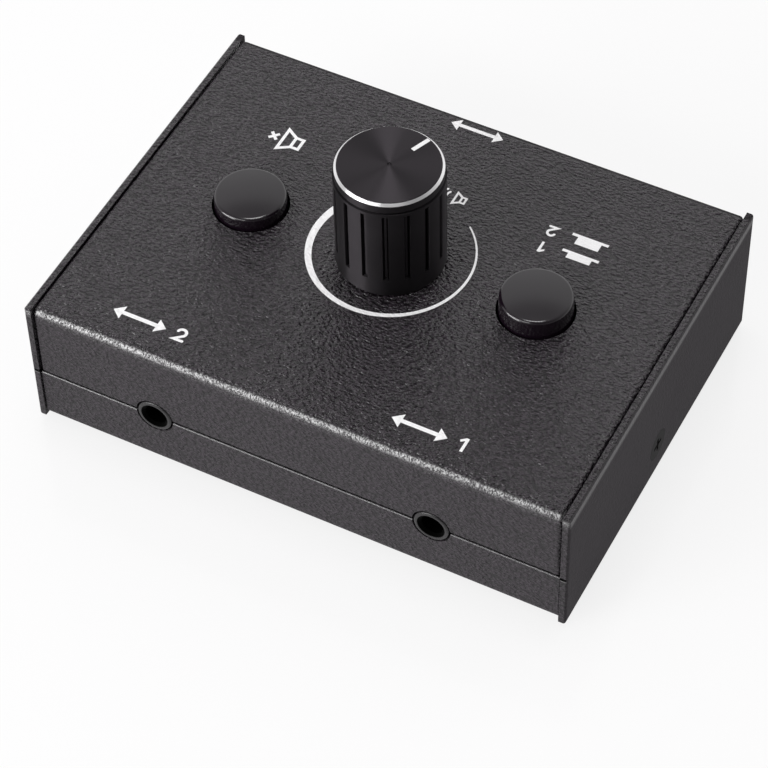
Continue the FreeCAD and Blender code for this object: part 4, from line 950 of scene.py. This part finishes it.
class PrintPanel(bpy.types.Operator):
    """Print the volume scale and the signs on the control panel"""

    bl_idname = "selector_switch.print_panel"
    bl_label = "Print the panel"

    def execute(self, context):
        looks = context.scene.print_looks
        ink = mix_ink(looks, context.scene.case_looks)
        print_sign("volume_scale", volume_wedge(looks), ink, looks)
        for name, number in (("front_left", 2), ("front_right", 1)):
            self.print_socket_sign(name, number, ink, looks)
        self.print_rear_sign(ink, looks)
        self.print_mute_sign(ink, looks)
        self.print_volume_sign(ink, looks)
        self.print_selector_signs(ink, looks)
        return {"FINISHED"}

    def print_socket_sign(self, name, number, ink, looks):
        """A two-way arrow and the output's number, behind a front socket."""
        x = centre_of(f"{name}_jack_housing").x
        height = 2.6 * MM
        y = CASE_LOW.y + 5.9 * MM
        arrow = two_way_arrow(length=9.0 * MM, height=height, bar=0.7 * MM)
        print_sign(f"{name}_arrow", [turned(arrow, 0, (x - 4.6 * MM, y))], ink, looks)
        self.print_number(f"{name}_number", number, height, 0, (x + 2.4 * MM, y - height / 2),
                          ink, looks)

    def print_number(self, name, number, height, angle, place, ink, looks):
        """A plain 1 or 2 whose foot is at a place."""
        if number == 1:
            outlines = [digit_one(height)]
        else:
            outlines = digit_two(height, height * 0.18)
        moved = [turned(outline, angle, place) for outline in outlines]
        print_sign(name, moved, ink, looks)

    def print_rear_sign(self, ink, looks):
        """A two-way arrow before the rear socket."""
        x = centre_of("rear_jack_housing").x
        y = CASE_HIGH.y - 2.7 * MM
        arrow = two_way_arrow(length=9.0 * MM, height=2.4 * MM, bar=0.65 * MM)
        print_sign("rear_arrow", [turned(arrow, math.pi, (x, y))], ink, looks)

    def print_mute_sign(self, ink, looks):
        """A crossed-out loudspeaker behind the mute button, read from the rear."""
        button = centre_of("mute_button_cap")
        place = (button.x - 0.4 * MM, button.y + 14.4 * MM)
        outlines = loudspeaker(4.4 * MM, looks.pen_width)
        moved = [turned(outline, math.pi, place) for outline in outlines]
        print_sign("mute_loudspeaker", moved, ink, looks)
        mark = cross_mark((place[0] - 3.4 * MM, place[1]), 0.95 * MM, looks.pen_width)
        print_sign("mute_cross", [mark], ink, looks)

    def print_volume_sign(self, ink, looks):
        """A sounding loudspeaker behind the knob, read from the rear."""
        place = (KNOB_CENTRE.x + 4.3 * MM, KNOB_CENTRE.y + 15.0 * MM)
        outlines = loudspeaker(2.4 * MM, looks.pen_width * 0.7)
        moved = [turned(outline, math.pi, place) for outline in outlines]
        print_sign("volume_loudspeaker", moved, ink, looks)
        for index in (1, 2):
            reach = (0.7 + index * 0.75) * MM
            wave = arc((-1.0 * MM, 0), reach, math.radians(145), math.radians(215), 8)
            wave = [(place[0] + x, place[1] + y) for x, y in wave]
            print_sign(f"volume_wave_{index}", pen_line(wave, looks.pen_width * 0.7), ink, looks)

    def print_selector_signs(self, ink, looks):
        """The raised and the pressed key with the output that each one picks."""
        button = centre_of("selector_button_cap")
        for number, rise, block in ((1, 12.4 * MM, 1.0 * MM), (2, 16.0 * MM, 1.5 * MM)):
            y = button.y + rise
            key = pressed_key(bar_length=6.0 * MM, block_length=3.9 * MM, block_height=block,
                              bar_height=0.5 * MM)
            key = turned(key, math.pi, (button.x + 1.4 * MM, y + 0.5 * MM))
            print_sign(f"selector_key_{number}", [key], ink, looks)
            self.print_number(f"selector_number_{number}", number, 2.2 * MM, math.pi,
                              (button.x - 4.6 * MM, y + 0.4 * MM), ink, looks)


class BuildStage(bpy.types.Operator):
    """Set up the floor, the lamps, the sky and the camera"""

    bl_idname = "selector_switch.build_stage"
    bl_label = "Build the stage"

    def execute(self, context):
        looks = context.scene.stage_looks
        self.lay_floor(looks)
        self.light_sky(context.scene, looks)
        for name, (power, size, place) in SOFTBOXES.items():
            self.hang_lamp(name, getattr(looks, power), size, place)
        self.stand_camera(context.scene, looks)
        return {"FINISHED"}

    def lay_floor(self, looks):
        """A wide floor, a hair under the feet."""
        mesh = bpy.data.meshes.new("studio_floor")
        corners = [(x * FLOOR_HALF, y * FLOOR_HALF, FLOOR_HEIGHT)
                   for x, y in ((-1, -1), (1, -1), (1, 1), (-1, 1))]
        mesh.from_pydata(corners, [], [(0, 1, 2, 3)])
        mesh.materials.append(mix_floor(looks))
        floor = bpy.data.objects.new("studio_floor", mesh)
        bpy.context.scene.collection.objects.link(floor)

    def light_sky(self, scene, looks):
        """A sky that is brighter low down and behind, with a soft glow behind on the left."""
        world = bpy.data.worlds.new("studio_sky")
        world.use_nodes = True
        scene.world = world
        sky = Nodes(world.node_tree)
        x, y, z = sky.parts(sky.place_of_sky())
        low = 1 - sky.maths("MAXIMUM", z, 0.0)
        behind = sky.step(x * SKY_BEHIND[0] + y * SKY_BEHIND[1], -0.9, 0.3)
        gentle, steep = map(math.sin, GLOW_ANGLES)
        glow = 1 - sky.step(z, gentle, steep)
        glow = glow * sky.step(x * SKY_GLOW[0] + y * SKY_GLOW[1], 0.15, 0.6)
        spread = looks.horizon_strength - looks.zenith_strength
        strength = (looks.zenith_strength + low * low * spread) * (0.2 + behind * 0.8)
        background = world.node_tree.nodes["Background"]
        background.inputs["Color"].default_value = (1, 1, 1, 1)
        sky.feed(background.inputs["Strength"], strength + glow * looks.glow_strength)

    def hang_lamp(self, name, power, size, place):
        """A rectangular softbox that points at the object."""
        lamp = bpy.data.lights.new(name, "AREA")
        lamp.shape = "RECTANGLE"
        lamp.size, lamp.size_y = size
        lamp.energy = power
        hung = bpy.data.objects.new(name, lamp)
        hung.location = place
        aim = Vector((0, 0, PANEL_TOP)) - Vector(place)
        hung.rotation_euler = aim.to_track_quat("-Z", "Y").to_euler()
        bpy.context.scene.collection.objects.link(hung)

    def stand_camera(self, scene, looks):
        """The camera, by its place and its three angles."""
        lens = bpy.data.cameras.new("camera")
        lens.lens = looks.lens
        lens.sensor_width = 36
        camera = bpy.data.objects.new("camera", lens)
        tilt = Euler((math.pi / 2 - looks.elevation, 0, looks.azimuth)).to_matrix()
        roll = Euler((0, 0, looks.roll)).to_matrix()
        camera.rotation_euler = (tilt @ roll).to_euler()
        camera.location = looks.camera_place
        scene.collection.objects.link(camera)
        scene.camera = camera
        scene.view_settings.view_transform = "Standard"


OPERATORS = (CoatCase, FinishFixings, FinishBoard, FinishSockets, FinishVolumeControl,
             FinishKnob, FinishButtons, FinishSwitches, PrintPanel, BuildStage)
LOOKS = {"case_looks": CaseLooks, "knob_looks": KnobLooks, "button_looks": ButtonLooks,
         "print_looks": PrintLooks, "stage_looks": StageLooks}


class SELECTOR_SWITCH_PT_tools(bpy.types.Panel):
    """The looks and the steps, in the order in which they are run"""

    bl_idname = "SELECTOR_SWITCH_PT_tools"
    bl_label = "Selector switch"
    bl_space_type = "VIEW_3D"
    bl_region_type = "UI"
    bl_category = "Selector switch"

    def draw(self, context):
        for name, group in LOOKS.items():
            box = self.layout.box()
            for prop in group.__annotations__:
                box.prop(getattr(context.scene, name), prop)
        for operator in OPERATORS:
            self.layout.operator(operator.bl_idname)


def register():
    """Make the looks, the steps and the panel known to Blender."""
    for name, group in LOOKS.items():
        bpy.utils.register_class(group)
        setattr(bpy.types.Scene, name, PointerProperty(type=group))
    for item in (*OPERATORS, SELECTOR_SWITCH_PT_tools):
        bpy.utils.register_class(item)


def unregister():
    """Take everything out again, last in first out."""
    for item in (SELECTOR_SWITCH_PT_tools, *reversed(OPERATORS)):
        bpy.utils.unregister_class(item)
    for name, group in reversed(LOOKS.items()):
        delattr(bpy.types.Scene, name)
        bpy.utils.unregister_class(group)


def main():
    register()
    for operator in OPERATORS:
        group, step = operator.bl_idname.split(".")
        getattr(getattr(bpy.ops, group), step)()


if __name__ == "__main__":
    main()
